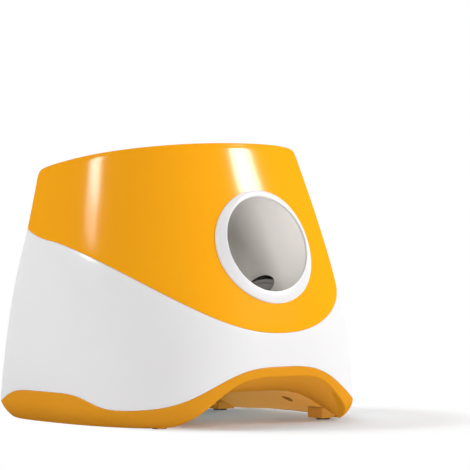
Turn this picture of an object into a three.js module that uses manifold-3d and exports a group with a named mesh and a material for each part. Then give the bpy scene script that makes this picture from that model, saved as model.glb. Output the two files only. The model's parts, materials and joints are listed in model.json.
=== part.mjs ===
// Automatic ball launcher for dogs: a free-standing machine with a bowl on top and a launch tube in front.
// Millimetres, +Z up, +Y towards the rear, origin on the floor under the middle of the base.
import * as THREE from "three";
import { mergeVertices } from "three/addons/utils/BufferGeometryUtils.js";
import Module from "manifold-3d";

const wasm = await Module();
wasm.setup();

// Body skin: a rounded oval that is widest just above the floor and narrows towards a sloping rim
const bodyHeight = 210;
const bodyHalfWidth = 122;
const frontReach = 146;
const rearReach = 110;
const waistRise = 16;
const hemInset = 10;
const rimRise = 2;
const rimFallShare = 0.125;
const halfWidthShares = [1, 0.98, 0.947, 0.869, 0.783];
const frontReachShares = [1, 0.969, 0.89, 0.788, 0.658];
const rearReachShares = [1, 0.945, 0.864, 0.8, 0.791];
const frontCornerPowers = [2.6, 2.2];
const rearCornerPowers = [2.9, 2.75];
const hemPower = 2;
const skinCentreY = (frontReach - rearReach) / 2;

// Line between the orange upper housing and the white middle one, by degrees round from the front
const colourLine = { front: 69.3, rear: 151.7, spreadDegrees: 66.2, power: 1.73 };
// Top of the orange base band: an arch in front, a low hump on each side and at the rear
const bandLine = { low: 13.3, archRise: 31.5, archHalfWidth: 70.5, archPower: 3.3 };
const bandHump = { rise: 11, halfWidth: 59, power: 5, centreShift: 12 };
// Lower edge of the base band, cut up into an arch in front
const hemLine = { low: 0.8, archRise: 36.6, archHalfWidth: 63, archPower: 4.1 };

// Walls, seams and fits
const wall = 3;
const seam = 0.4;
const clearance = 0.3;
const overrun = 40;
const tongue = { thickness: 1.6, height: 4, root: 6, blend: 2 };
const roundSteps = 40;
const collarSteps = 32;
const tubeSteps = 24;
const wheelSteps = 16;
const roundPostSteps = 12;
const screwSteps = 8;
const cornerSteps = 3;
const skinPasses = 4;
// Places of the rows between the two ends of a shell's outside, of its inside and of the bowl's slope
const outerShares = [0, 0.35, 0.7, 1];
const innerShares = [1, 0.65, 0.3, 0];
const bandShares = [0, 0.3, 0.6];
const slopeShares = [0, 0.3, 0.65, 1];
const backingShares = [-1, -0.5, 0, 0.5, 1];
const gearBackShares = [0.25, 0.5, 0.75];

// Launch tube: its mouth on the front of the upper housing, tilted back with the skin
const mouth = { height: 134.8, leanDegrees: 17, step: 0.4, lift: 2 };
const tube = { radius: 37, wall: 2.5, gap: 1.2094 };
const mouthRadius = tube.radius - mouth.step;
const collar = { band: 7.2, proud: 1.3, edge: 0.7, crown: 0.5, innerProud: 0.6, innerRound: 1, hoop: 2.6 };
const collarRadius = mouthRadius + collar.band;
const elbow = { valleyDepth: 86, turnY: 13, turnZ: 126.5, topDrop: 25 };
const tubeTop = mouth.height + tube.radius - elbow.topDrop;

// Launch wheels: two driven rollers set in a vee under the ball
const wheel = { depth: 61, veeDegrees: 36, radius: 34, width: 18, bite: 7, edgeDrop: 2.5, shoulder: 3 };
const wheelReach = tube.radius + wheel.radius - wheel.bite;
const hub = { radius: 24, rim: 4, web: 4, boss: 6, width: 16 };
const shaft = { radius: 1.5, above: 10, below: 9 };
const slot = { gap: 2.797, halfHeight: 17.8, steps: 6 };
const motor = { radius: 14, top: 14.3, length: 31.7, nose: 5, noseHeight: 2.5, cap: 5, capHeight: 2 };
const mount = { top: 11, thickness: 3, halfSpan: 30, outer: 18, inner: 30, screwCircle: 8.5 };

// Release gate: a swinging arm under the bowl, turned by a small gear motor
const gate = { pivotX: 54, pivotY: 30, closedDegrees: 198, travel: 75, blade: 44, bladeWidth: 13,
  thickness: 3, lift: 0.8 };
const gear = { module: 1, armTeeth: 32, pinionTeeth: 12, sectorDegrees: 124, pinionDegrees: -20,
  slack: 0.35 };
const gearShares = { root: 1.2, tip: 0.85, rootHalf: 0.27, tipHalf: 0.1 };
const pivot = { radius: 2.5, hub: 6.5, below: 7, above: 5.3, cap: 4, capHeight: 1.2 };
const bracket = { thickness: 3, width: 34, reach: 34 };
const gearMotor = { width: 15, depth: 24, height: 34, shaft: 1.5, nose: 3.5, noseHeight: 2, stem: 12 };

// Bowl on top
const bowl = { edgeInset: 4.6, edgeWidth: 1.8, edgeRise: 0.6, bend: 9.5, bendDrop: 3, shoulder: 14,
  shoulderDrop: 11, throatRise: 11.2, sheet: 2.8, hidden: 4.2, power: 1.5 };
const throatTop = tubeTop + bowl.throatRise;
const lipShares = { outer: 0.2, inner: 0.8, rise: 0.5 };
const ledge = { width: 4, drop: 6, thickness: 2, taper: 3 };

// Base: inner deck, bottom pan with its tunnel, feet
const deck = { bottom: 30, thickness: 2.5, inset: 4.2, front: -101, rear: 72 };
const tunnel = { rise: 24.7, halfWidth: 71.3, power: 4.2, front: -86, rear: 50, sheet: 2.5, columns: 20,
  spreadPower: 0.8 };
const cove = { inset: 0.75, sag: 1.5, spreadSteps: 5, rows: 3 };
const flank = { edge: 3.2, rearEdge: 0.8, bendY: -10, power: 1.4 };
const pan = { floor: 4, sheet: 2.5, sideGap: 0.6, rowShares: [0.4, 0.75] };
const foot = { x: 78, frontY: -76.5, rearY: 53, width: 16, depth: 17, bottom: 1.2, frontTop: 9,
  padRadius: 5.5, padHeight: 2.6 };
const panScrew = { x: 60, frontY: -55.5, rearY: 30, seat: 21, seatWall: 3, recess: 4.5, boss: 5.2, pad: 7.5 };
const housingScrew = { gap: 5.975, frontY: -30, rearY: 55, boss: 7.2, height: 26 };
const tubeLeg = { x: 8, width: 12, y: 13, depth: 16, flangeX: 15, flangeWidth: 26, flangeDepth: 32, flange: 3,
  screwX: 21.5, boss: 5 };

// Battery bay and electrics
const battery = { halfWidth: 76, front: 51.5, rear: 104, top: 36, wall: 2, openHalf: 70, openFront: 56,
  openRear: 99.5 };
const batteryCover = { sheet: 2, tabX: 80.2, tabWidth: 13, tabDepth: 14, tabY: 79, boss: 5.2,
  bossHeight: 16 };
const contact = { thickness: 0.8, width: 42, height: 20, z: 21, coil: 4.5, coilTip: 2.5, coilHeight: 5,
  spacing: 22 };
const board = { x: -76, y: 16, width: 56, depth: 50, thickness: 1.6, lift: 5, post: 3, inset: 4 };
// Parts on the main board: centre, then width, depth and height
const boardParts = [[-10, 6, 14, 14, 1.8], [14, 12, 8, 16, 6], [14, -12, 10, 10, 9], [-16, -16, 12, 6, 7]];
const speaker = { x: 76, y: 8, radius: 13, height: 8, step: 3 };
const jack = { x: 40, z: 60, radius: 5.2, flange: 7.5, bore: 3, pin: 1, pinDepth: 2.5, front: 0.6, back: 17,
  boreDepth: 10, flangeGap: 3.4, flangeSheet: 2.6 };

// Control panel on the rear
const panel = { z: 105, leanDegrees: 11, width: 84, height: 44, sheet: 2.2, sink: 2.6, corner: 6, window: 4,
  backing: 5, skin: 0.6 };
const button = { offset: 20, radius: 8, skirt: 9.4, skirtHeight: 1.4, travel: 1.2, proud: 2, round: 1.2,
  stem: 2.6 };
const controlBoard = { width: 78, height: 30, thickness: 1.6, depth: 11, switchSize: 6.2, switchHeight: 3.4 };
const lens = { width: 16, height: 4, y: 14, corner: 1, proud: 0.4, flange: 1.5, flangeSheet: 1 };
const panelPost = { x: 34, radius: 3 };

// Ball sensor: a light and a receiver facing each other across the feed tube
const sensor = { z: 134, radius: 2.5, length: 9, boss: 4.6, bossLength: 4.5, rim: 3.6,
  rimLength: 1.5, inset: 0.8 };

// Screws: radii and heights of the head, the shank and the drive recess, and how deep the thread goes
const screw = { head: 3.5, headHeight: 2.1, shank: 1.5, drive: 1.3, driveDepth: 1.1, grip: 10 };
const smallScrew = { head: 2.1, headHeight: 1.3, shank: 1.1, drive: 0.8, driveDepth: 0.7, grip: 5 };
const crownShare = 0.85;
const screwSeat = 0.1;
const sind = (degrees) => Math.sin(THREE.MathUtils.degToRad(degrees));
const cosd = (degrees) => Math.cos(THREE.MathUtils.degToRad(degrees));
const bell = (distance, halfWidth, power) => Math.exp(-((Math.abs(distance) / halfWidth) ** power));
const between = (low, high, share) => low + (high - low) * share;

// Materials
function paint(color, roughness, metalness = 0) {
  return new THREE.MeshStandardMaterial({ color, roughness, metalness });
}
const finish = {
  orange: paint("#f4a818", 0.28),
  orangeBase: paint("#f0a21a", 0.32),
  orangePan: paint("#e39a1c", 0.45),
  white: paint("#eceaea", 0.32),
  bowlWhite: paint("#eceaea", 0.36),
  collarWhite: paint("#f0eeee", 0.3),
  panelGrey: paint("#e0dedd", 0.4),
  whiteInner: paint("#dedbd8", 0.5),
  charcoal: paint("#2b2b2d", 0.55),
  rubber: paint("#3a3a3a", 0.85),
  wheelGrey: paint("#8c8a88", 0.6),
  steel: paint("#b8b8ba", 0.35, 1),
  motorSteel: paint("#a9abae", 0.4, 1),
  brass: paint("#c9a24a", 0.35, 1),
  boardGreen: paint("#1f6b3c", 0.6),
  lens: paint("#d8efe4", 0.2),
};

// Closed meshes and solids
function solidFrom(positions, triangles) {
  const numbers = new Float32Array(positions);
  const make = (order) => {
    return new wasm.Manifold(new wasm.Mesh({ numProp: 3, vertProperties: numbers, triVerts: order }));
  };
  const solid = make(new Uint32Array(triangles));
  if (solid.volume() > 0) return solid;
  const reversed = new Uint32Array(triangles.length);
  for (let i = 0; i < triangles.length; i += 3) {
    reversed.set([triangles[i], triangles[i + 2], triangles[i + 1]], i);
  }
  return make(reversed);
}

function solidOf(geometry) {
  const bare = geometry.clone();
  bare.deleteAttribute("normal");
  bare.deleteAttribute("uv");
  const merged = mergeVertices(bare);
  return solidFrom(merged.attributes.position.array, merged.index.array);
}

function geometryOf(solid) {
  const mesh = solid.getMesh();
  const geometry = new THREE.BufferGeometry();
  geometry.setAttribute("position", new THREE.Float32BufferAttribute(mesh.vertProperties, 3));
  geometry.setIndex(new THREE.Uint32BufferAttribute(mesh.triVerts, 1));
  geometry.computeVertexNormals();
  return geometry;
}

const joined = (...solids) => solids.reduce((sum, next) => sum.add(next));
const cutBy = (solid, ...tools) => tools.reduce((left, tool) => left.subtract(tool), solid);

// A surface closed both ways: rows of points carried round, or along, with the last joined to the first
function closedLoop(rowAt, steps) {
  const positions = [];
  const triangles = [];
  for (let i = 0; i < steps; i += 1) for (const point of rowAt(i / steps)) positions.push(...point);
  const count = positions.length / 3 / steps;
  for (let i = 0; i < steps; i += 1) {
    const here = i * count;
    const next = ((i + 1) % steps) * count;
    for (let k = 0; k < count; k += 1) {
      const after = (k + 1) % count;
      triangles.push(here + k, next + k, next + after, here + k, next + after, here + after);
    }
  }
  return solidFrom(positions, triangles);
}

// A sheet between an underside and the same surface raised by its thickness, on a grid of columns and rows
function sheetSolid(columns, rows, pointAt, thickness) {
  const positions = [];
  const triangles = [];
  const across = columns + 1;
  const layer = across * (rows + 1);
  for (const lift of [0, thickness]) {
    for (let j = 0; j <= rows; j += 1) {
      for (let i = 0; i <= columns; i += 1) {
        const [x, y, z] = pointAt(i / columns, j / rows);
        positions.push(x, y, z + lift);
      }
    }
  }
  const quad = (a, b, c, d) => triangles.push(a, b, c, a, c, d);
  const at = (i, j, top) => top * layer + j * across + i;
  for (let j = 0; j < rows; j += 1) {
    for (let i = 0; i < columns; i += 1) {
      quad(at(i, j, 0), at(i, j + 1, 0), at(i + 1, j + 1, 0), at(i + 1, j, 0));
      quad(at(i, j, 1), at(i + 1, j, 1), at(i + 1, j + 1, 1), at(i, j + 1, 1));
    }
  }
  for (let i = 0; i < columns; i += 1) {
    quad(at(i, 0, 0), at(i + 1, 0, 0), at(i + 1, 0, 1), at(i, 0, 1));
    quad(at(i, rows, 1), at(i + 1, rows, 1), at(i + 1, rows, 0), at(i, rows, 0));
  }
  for (let j = 0; j < rows; j += 1) {
    quad(at(0, j, 1), at(0, j + 1, 1), at(0, j + 1, 0), at(0, j, 0));
    quad(at(columns, j, 0), at(columns, j + 1, 0), at(columns, j + 1, 1), at(columns, j, 1));
  }
  return solidFrom(positions, triangles);
}

// A box from its low to its high corner
function boxBetween(low, high) {
  const size = high.map((value, axis) => value - low[axis]);
  const middle = high.map((value, axis) => (value + low[axis]) / 2);
  return new THREE.BoxGeometry(...size).translate(...middle);
}

// An upright cylinder between two heights
function post(x, y, low, high, radius, steps) {
  const geometry = new THREE.CylinderGeometry(radius, radius, high - low, steps);
  return geometry.rotateX(Math.PI / 2).translate(x, y, (low + high) / 2);
}

// A cylinder between two points
function rod(from, to, radius, steps) {
  const way = to.clone().sub(from);
  const geometry = new THREE.CylinderGeometry(radius, radius, way.length(), steps);
  const turn = new THREE.Quaternion().setFromUnitVectors(new THREE.Vector3(0, 1, 0), way.normalize());
  const middle = from.clone().add(to).multiplyScalar(1 / 2);
  return geometry.applyQuaternion(turn).translate(middle.x, middle.y, middle.z);
}

// A turned piece about +Z from its profile of radius and height
function turned(profile, steps) {
  const points = profile.map(([radius, height]) => new THREE.Vector2(radius, height));
  return new THREE.LatheGeometry(points, steps).rotateX(Math.PI / 2);
}

// A flat plate with round corners, standing on its lower face
function roundedPlate(width, height, corner, thickness) {
  const x = width / 2;
  const y = height / 2;
  const outline = new THREE.Shape();
  outline.moveTo(corner - x, -y);
  outline.lineTo(x - corner, -y);
  outline.absarc(x - corner, corner - y, corner, -Math.PI / 2, 0);
  outline.absarc(x - corner, y - corner, corner, 0, Math.PI / 2);
  outline.absarc(corner - x, y - corner, corner, Math.PI / 2, Math.PI);
  outline.absarc(corner - x, corner - y, corner, Math.PI, (3 * Math.PI) / 2);
  const options = { depth: thickness, bevelEnabled: false, curveSegments: cornerSteps };
  return new THREE.ExtrudeGeometry(outline, options);
}

// A frame given by its origin and its X and Z directions
function frameOf(origin, xAxis, zAxis) {
  const yAxis = zAxis.clone().cross(xAxis);
  return new THREE.Matrix4().makeBasis(xAxis, yAxis, zAxis).setPosition(origin);
}

// Body skin

// Values at five even levels joined by a smooth curve; share runs from the waist, 0, to the rim, 1
function alongLevels(values, share) {
  const last = values.length - 1;
  const place = Math.min(Math.max(share, 0), 1) * last;
  const i = Math.min(Math.floor(place), last - 1);
  const w = place - i;
  const p1 = values[i];
  const p2 = values[i + 1];
  const p0 = i > 0 ? values[i - 1] : 2 * p1 - p2;
  const p3 = i + 2 <= last ? values[i + 2] : 2 * p2 - p1;
  const linear = (p2 - p0) * w;
  const square = (2 * p0 - 5 * p1 + 4 * p2 - p3) * w * w;
  const cube = (3 * p1 - p0 - 3 * p2 + p3) * w ** 3;
  return p1 + (linear + square + cube) / 2;
}

// A point of the rounded oval at a level: u turns from +X through the rear
function planPoint(u, share, inset) {
  const rear = Math.sin(u) > 0;
  const corners = rear ? rearCornerPowers : frontCornerPowers;
  const reach = rear
    ? rearReach * alongLevels(rearReachShares, share)
    : frontReach * alongLevels(frontReachShares, share);
  const half = bodyHalfWidth * alongLevels(halfWidthShares, share);
  const power = 2 / between(corners[0], corners[1], Math.min(Math.max(share, 0), 1));
  const x = (half - inset) * Math.sign(Math.cos(u)) * Math.abs(Math.cos(u)) ** power;
  const y = (reach - inset) * Math.sign(Math.sin(u)) * Math.abs(Math.sin(u)) ** power;
  return [x, y + skinCentreY];
}

const rimFrontY = planPoint(-Math.PI / 2, 1, 0)[1];

function rimLevel(u) {
  return bodyHeight - rimRise - rimFallShare * (planPoint(u, 1, 0)[1] - rimFrontY);
}

// A point of the skin at height z, moved inwards by the inset; below the waist the skin curls in
function skin(u, z, inset) {
  const share = (z - waistRise) / (rimLevel(u) - waistRise);
  const below = Math.max(waistRise - z, 0) / waistRise;
  const [x, y] = planPoint(u, share, inset + hemInset * below ** hemPower);
  return [x, y, z];
}

// The skin's front, end -1, or its rear, end 1, as y for a given x and height
function skinY(x, z, end) {
  const corners = end > 0 ? rearCornerPowers : frontCornerPowers;
  const curl = hemInset * (Math.max(waistRise - z, 0) / waistRise) ** hemPower;
  let u = (end * Math.PI) / 2;
  for (let pass = 0; pass < skinPasses; pass += 1) {
    const share = (z - waistRise) / (rimLevel(u) - waistRise);
    const half = bodyHalfWidth * alongLevels(halfWidthShares, share) - curl;
    const power = between(corners[0], corners[1], Math.min(Math.max(share, 0), 1));
    u = end * Math.acos(Math.min(Math.abs(x) / half, 1) ** (power / 2));
  }
  return skin(u, z, 0)[1];
}

// Half the skin's width at a given y and height, with the rim taken as level
function skinHalfWidth(y, z) {
  const inFront = y < skinCentreY;
  const share = (z - waistRise) / (rimLevel(0) - waistRise);
  const corners = inFront ? frontCornerPowers : rearCornerPowers;
  const power = between(corners[0], corners[1], share);
  const reach = inFront
    ? frontReach * alongLevels(frontReachShares, share)
    : rearReach * alongLevels(rearReachShares, share);
  const half = bodyHalfWidth * alongLevels(halfWidthShares, share);
  return half * (1 - (Math.abs(y - skinCentreY) / reach) ** power) ** (1 / power);
}

const degreesFromFront = (u) => THREE.MathUtils.radToDeg(Math.acos(-Math.sin(u)));

function colourHeight(u) {
  const fade = bell(degreesFromFront(u), colourLine.spreadDegrees, colourLine.power);
  return colourLine.rear - (colourLine.rear - colourLine.front) * fade;
}

function bandHeight(u) {
  const [x, y] = planPoint(u, 0, 0);
  const inFront = y < skinCentreY;
  const arch = inFront ? bandLine.archRise * bell(x, bandLine.archHalfWidth, bandLine.archPower) : 0;
  const side = bandHump.rise * bell(y - bandHump.centreShift, bandHump.halfWidth, bandHump.power);
  const rear = inFront ? 0 : bandHump.rise * bell(x, bandHump.halfWidth, bandHump.power);
  return bandLine.low + arch + side + rear;
}

const hemHeightAt = (x) => hemLine.low + hemLine.archRise * bell(x, hemLine.archHalfWidth, hemLine.archPower);

const tunnelHeight = (x) => tunnel.rise * bell(x, tunnel.halfWidth, tunnel.power);

function hemHeight(u) {
  const [x, y] = planPoint(u, 0, hemInset / 2);
  return y < skinCentreY ? hemHeightAt(x) : hemLine.low;
}

// A shell round the body: each entry gives an inset and a height for the direction u
function shellAround(entries) {
  return closedLoop((share) => {
    const u = 2 * Math.PI * share;
    return entries(u).map(([inset, z]) => skin(u, z, inset));
  }, roundSteps);
}

// Launch tube frame: origin at the mouth's middle, +Y back along the tube, +Z square to it and upwards
const mouthY = skinY(0, mouth.height - mouth.lift, -1) + mouth.lift * sind(mouth.leanDegrees);
const mouthPoint = new THREE.Vector3(0, mouthY, mouth.height);
const across = new THREE.Vector3(1, 0, 0);
const back = new THREE.Vector3(0, cosd(mouth.leanDegrees), -sind(mouth.leanDegrees));
const upward = new THREE.Vector3(0, sind(mouth.leanDegrees), cosd(mouth.leanDegrees));
const tubeFrame = frameOf(mouthPoint, across, upward);
const tubePoint = (x, depth, rise) => new THREE.Vector3(x, depth, rise).applyMatrix4(tubeFrame);
const tubeOuter = tube.radius + tube.wall;
const sensorBossReach = tubeOuter + sensor.bossLength;
const tubeStart = skinY(tubeOuter, mouth.height, -1) - skinY(0, mouth.height, -1) + wall + tube.gap;
const valley = tubePoint(0, elbow.valleyDepth, 0);
const turn = new THREE.Vector3(0, elbow.turnY, elbow.turnZ);

// Places that several pieces share
const deckTop = deck.bottom + deck.thickness;
const tongueInset = wall + clearance;
const tongueInner = tongueInset + tongue.thickness;
const sides = [["left", -1], ["right", 1]];
const ends = [["front", -1], ["rear", 1]];
const cornerPlaces = (x, frontY, rearY) => ends.flatMap(([endName, end]) => sides.map(([sideName, side]) => {
  return [side * x, end < 0 ? frontY : rearY, `${endName}_${sideName}`];
}));
const housingScrewX = skinHalfWidth(housingScrew.frontY, deck.bottom) - wall - housingScrew.gap;
const housingScrewPlaces = cornerPlaces(housingScrewX, housingScrew.frontY, housingScrew.rearY);
const panScrewPlaces = cornerPlaces(panScrew.x, panScrew.frontY, panScrew.rearY);
const footPlaces = cornerPlaces(foot.x, foot.frontY, foot.rearY);
const legScrewPlaces = sides.map(([name, side]) => [side * tubeLeg.screwX, tubeLeg.y, name]);
const boardPosts = ends.flatMap(([, end]) => sides.map(([, side]) => [
  board.x + side * (board.width / 2 - board.inset),
  board.y + end * (board.depth / 2 - board.inset),
]));

// Frame of the control panel on the rear skin: +Z outwards, +Y upwards
const panelOrigin = new THREE.Vector3(0, skinY(0, panel.z, 1), panel.z);
const panelOut = new THREE.Vector3(0, cosd(panel.leanDegrees), sind(panel.leanDegrees));
const panelFrame = frameOf(panelOrigin, new THREE.Vector3(-1, 0, 0), panelOut);
const panelFace = -panel.sink;
const panelBack = panelFace - panel.sheet;

// A point straight in from the rear skin at the power inlet
const jackY = skinY(jack.x, jack.z, 1);
const jackPoint = (depth) => new THREE.Vector3(jack.x, jackY - depth, jack.z);

// The frame of a piece that stays in its own frame
const upright = new THREE.Matrix4();

// A geometry moved along its own Z and then into a frame
const placed = (geometry, frame, rise) => geometry.translate(0, 0, rise).applyMatrix4(frame);

// Upright holes and pins at a list of places
function posts(places, low, high, radius, steps) {
  return places.map(([x, y]) => solidOf(post(x, y, low, high, radius, steps)));
}

// The room inside the body between the first and the last of several levels, each a height and an inset
function bodySolid(levels) {
  const positions = [];
  const triangles = [];
  for (const [z, inset] of levels) {
    for (let i = 0; i < roundSteps; i += 1) positions.push(...skin((2 * Math.PI * i) / roundSteps, z, inset));
  }
  const last = levels.length - 1;
  const lowCentre = positions.length / 3;
  positions.push(0, skinCentreY, levels[0][0], 0, skinCentreY, levels[last][0]);
  for (let i = 0; i < roundSteps; i += 1) {
    const next = (i + 1) % roundSteps;
    triangles.push(lowCentre, next, i, lowCentre + 1, last * roundSteps + i, last * roundSteps + next);
    for (let k = 0; k < last; k += 1) {
      const low = k * roundSteps;
      const high = low + roundSteps;
      triangles.push(low + i, low + next, high + next, low + i, high + next, high + i);
    }
  }
  return solidFrom(positions, triangles);
}

// Housings

function makeUpperHousing() {
  const edge = bowl.edgeInset - seam;
  const shell = shellAround((u) => {
    const low = colourHeight(u) + seam / 2;
    const rim = rimLevel(u);
    const ledgeTop = rim - ledge.drop;
    const ledgeFoot = ledgeTop - ledge.thickness - ledge.taper;
    return [
      ...outerShares.map((share) => [0, between(low, rim, share)]),
      [rimRise * lipShares.outer, rim + rimRise * lipShares.rise],
      [rimRise * lipShares.inner, rim + rimRise],
      [edge - rimRise * lipShares.inner, rim + rimRise],
      [edge, rim + rimRise * lipShares.rise],
      [edge, ledgeTop],
      [wall + ledge.width, ledgeTop],
      [wall + ledge.width, ledgeTop - ledge.thickness],
      ...innerShares.map((share) => [wall, between(low, ledgeFoot, share)]),
    ];
  });
  const holeRadius = mouthRadius + collar.hoop + clearance;
  const hole = rod(tubePoint(0, -overrun, 0), tubePoint(0, overrun, 0), holeRadius, collarSteps);
  return cutBy(shell, solidOf(hole));
}

// Top of the base housing's tongue, which stands inside the middle housing
const tongueTop = (u) => Math.max(bandHeight(u) - seam / 2 + tongue.height, deckTop);

function makeMiddleHousing() {
  const shell = shellAround((u) => {
    const low = bandHeight(u) + seam / 2;
    const high = colourHeight(u) - seam / 2;
    const root = high - tongue.root;
    return [
      ...outerShares.map((share) => [0, between(low, high, share)]),
      [tongueInset, high],
      [tongueInset, high + tongue.height],
      [tongueInner, high + tongue.height],
      [tongueInner, root],
      [wall, root - tongue.blend],
      [wall, between(tongueTop(u), root, 1 / 2)],
      [wall, Math.min(tongueTop(u) + tongue.blend, between(low, root, 1 / 2))],
      [wall, low],
    ];
  });
  const bossFoot = deckTop + clearance;
  const bossTop = bossFoot + housingScrew.height;
  const bosses = posts(housingScrewPlaces, bossFoot, bossTop, housingScrew.boss, roundPostSteps);
  const holes = posts(housingScrewPlaces, 0, deckTop + screw.grip, screw.shank + clearance, screwSteps);
  const plateAt = (grow, thickness, rise) => {
    const width = panel.width + 2 * grow;
    const flat = roundedPlate(width, panel.height + 2 * grow, panel.corner + grow, thickness);
    return solidOf(placed(flat, panelFrame, rise));
  };
  const levels = backingShares.map((share) => [panel.z + share * panel.height, panel.skin]);
  const rearHalf = boxBetween([-bodyHalfWidth, skinCentreY, 0], [bodyHalfWidth, 2 * rearReach, bodyHeight]);
  const room = bodySolid(levels).intersect(solidOf(rearHalf));
  const backing = plateAt(wall, overrun, panelBack - panel.backing).intersect(room);
  const pocket = plateAt(clearance, overrun, panelBack - clearance);
  const windowCut = plateAt(-panel.window, 2 * overrun, -overrun);
  const jackBore = rod(jackPoint(-overrun), jackPoint(overrun), jack.radius + clearance, roundPostSteps);
  return cutBy(joined(shell, ...bosses, backing), ...holes, pocket, windowCut, solidOf(jackBore));
}

// A point of the hem between two corners of the shell round it
function hemPoint(steps) {
  const low = Math.floor(steps);
  const at = (k) => {
    const u = (2 * Math.PI * k) / roundSteps;
    return skin(u, hemHeight(u), cove.inset);
  };
  return at(low).map((value, axis) => between(value, at(low + 1)[axis], steps - low));
}

function makeBaseHousing() {
  const shell = shellAround((u) => {
    const low = hemHeight(u);
    const high = bandHeight(u) - seam / 2;
    return [
      ...bandShares.map((share) => [0, between(low, high, share)]),
      [0, high],
      [tongueInset, high],
      [tongueInset, tongueTop(u)],
      [tongueInner, tongueTop(u)],
      ...bandShares.map((share) => [tongueInner, between(low, high, share)]).reverse(),
    ];
  });
  const frontStep = (roundSteps * 3) / 4;
  const coveSheet = sheetSolid(4 * cove.spreadSteps, cove.rows, (acrossShare, backShare) => {
    const steps = frontStep + between(-cove.spreadSteps, cove.spreadSteps, acrossShare);
    const [x, outerY, outerZ] = hemPoint(steps);
    const sag = cove.sag * Math.sin(Math.PI * backShare);
    return [x, between(outerY, tunnel.front, backShare), between(outerZ, tunnelHeight(x), backShare) - sag];
  }, tunnel.sheet);
  const plate = bodySolid([[deck.bottom, deck.inset], [deckTop, deck.inset]]);
  const plateRoom = boxBetween([-bodyHalfWidth, deck.front, 0], [bodyHalfWidth, deck.rear, bodyHeight]);
  const bayHalf = battery.halfWidth + clearance;
  const bay = solidOf(boxBetween([-bayHalf, battery.front - clearance, 0], [bayHalf, rearReach, bodyHeight]));
  const inDeck = deck.bottom + deck.thickness / 2;
  const bossFoot = panScrew.seat + panScrew.seatWall + clearance;
  const bosses = posts(panScrewPlaces, bossFoot, inDeck, panScrew.boss, roundPostSteps);
  const boardSupports = posts(boardPosts, inDeck, deckTop + board.lift, board.post, screwSteps);
  const panHoles = posts(panScrewPlaces, 0, panScrew.seat + screw.grip, screw.shank + clearance, screwSteps);
  const screwPlaces = [...housingScrewPlaces, ...legScrewPlaces];
  const holeFoot = deck.bottom - screw.grip;
  const deckHoles = posts(screwPlaces, holeFoot, deckTop + screw.grip, screw.shank + clearance, screwSteps);
  const floor = cutBy(plate.intersect(solidOf(plateRoom)), bay);
  return cutBy(joined(shell, coveSheet, floor, ...bosses, ...boardSupports), ...panHoles, ...deckHoles);
}

// Height of the pan's outer strips, which come down towards the rear
function flankHeight(y) {
  const share = Math.min(Math.max(y - flank.bendY, 0) / (tunnel.rear - flank.bendY), 1);
  return between(flank.edge, flank.rearEdge, share ** flank.power);
}

// Bottom pan: the roof and sides of a tunnel between the feet, and a flat floor under the battery box
function makeBottomPan() {
  const half = bodyHalfWidth;
  const front = tunnel.front + seam;
  const wallFront = tunnel.rear - pan.sheet;
  const bends = pan.rowShares.map((share) => between(flank.bendY, tunnel.rear, share));
  const rows = [front, flank.bendY, ...bends, tunnel.rear];
  const spread = (share) => half * Math.sign(2 * share - 1) * Math.abs(2 * share - 1) ** tunnel.spreadPower;
  const roof = sheetSolid(tunnel.columns, rows.length - 1, (acrossShare, backShare) => {
    const x = spread(acrossShare);
    const y = rows[Math.round(backShare * (rows.length - 1))];
    return [x, y, Math.max(tunnelHeight(x), flankHeight(y))];
  }, tunnel.sheet);
  const underRoof = sheetSolid(tunnel.columns, 1, (acrossShare, backShare) => {
    const x = spread(acrossShare);
    const y = between(front - overrun, wallFront, backShare);
    return [x, y, Math.max(tunnelHeight(x), flank.edge) - overrun];
  }, overrun);
  const lowCorner = [-half, wallFront, pan.floor];
  const backWall = solidOf(boxBetween(lowCorner, [half, tunnel.rear, tunnel.rise + tunnel.sheet]));
  const rearFloor = solidOf(boxBetween(lowCorner, [half, 2 * rearReach, pan.floor + pan.sheet]));
  const feet = footPlaces.map(([x, y]) => {
    const top = y < 0 ? foot.frontTop : pan.floor + pan.sheet;
    const low = [x - foot.width / 2, y - foot.depth / 2, foot.bottom];
    return solidOf(boxBetween(low, [x + foot.width / 2, y + foot.depth / 2, top]));
  });
  const pads = posts(panScrewPlaces, 0, panScrew.seat + panScrew.seatWall, panScrew.pad, roundPostSteps);
  const inset = tongueInner + pan.sideGap;
  const room = bodySolid([[0, inset], [waistRise / 2, inset], [waistRise, inset], [deck.bottom, inset]]);
  const body = joined(roof, backWall, rearFloor, ...feet, cutBy(joined(...pads), underRoof)).intersect(room);
  const recesses = posts(panScrewPlaces, -overrun, panScrew.seat, panScrew.recess, roundPostSteps);
  const holes = posts(panScrewPlaces, 0, deckTop, screw.shank + clearance, screwSteps);
  const padTop = foot.padHeight + clearance;
  const padRecesses = posts(footPlaces, -overrun, padTop, foot.padRadius + clearance, roundPostSteps);
  const bay = solidOf(boxBetween(
    [-battery.openHalf, battery.openFront, -overrun],
    [battery.openHalf, battery.openRear, pan.floor + overrun],
  ));
  const tabReach = batteryCover.tabDepth / 2;
  const tab = solidOf(boxBetween(
    [0, batteryCover.tabY - tabReach, -overrun],
    [batteryCover.tabX + batteryCover.tabWidth / 2, batteryCover.tabY + tabReach, pan.floor + overrun],
  ));
  return cutBy(body, ...recesses, ...holes, ...padRecesses, bay, tab);
}

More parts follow.
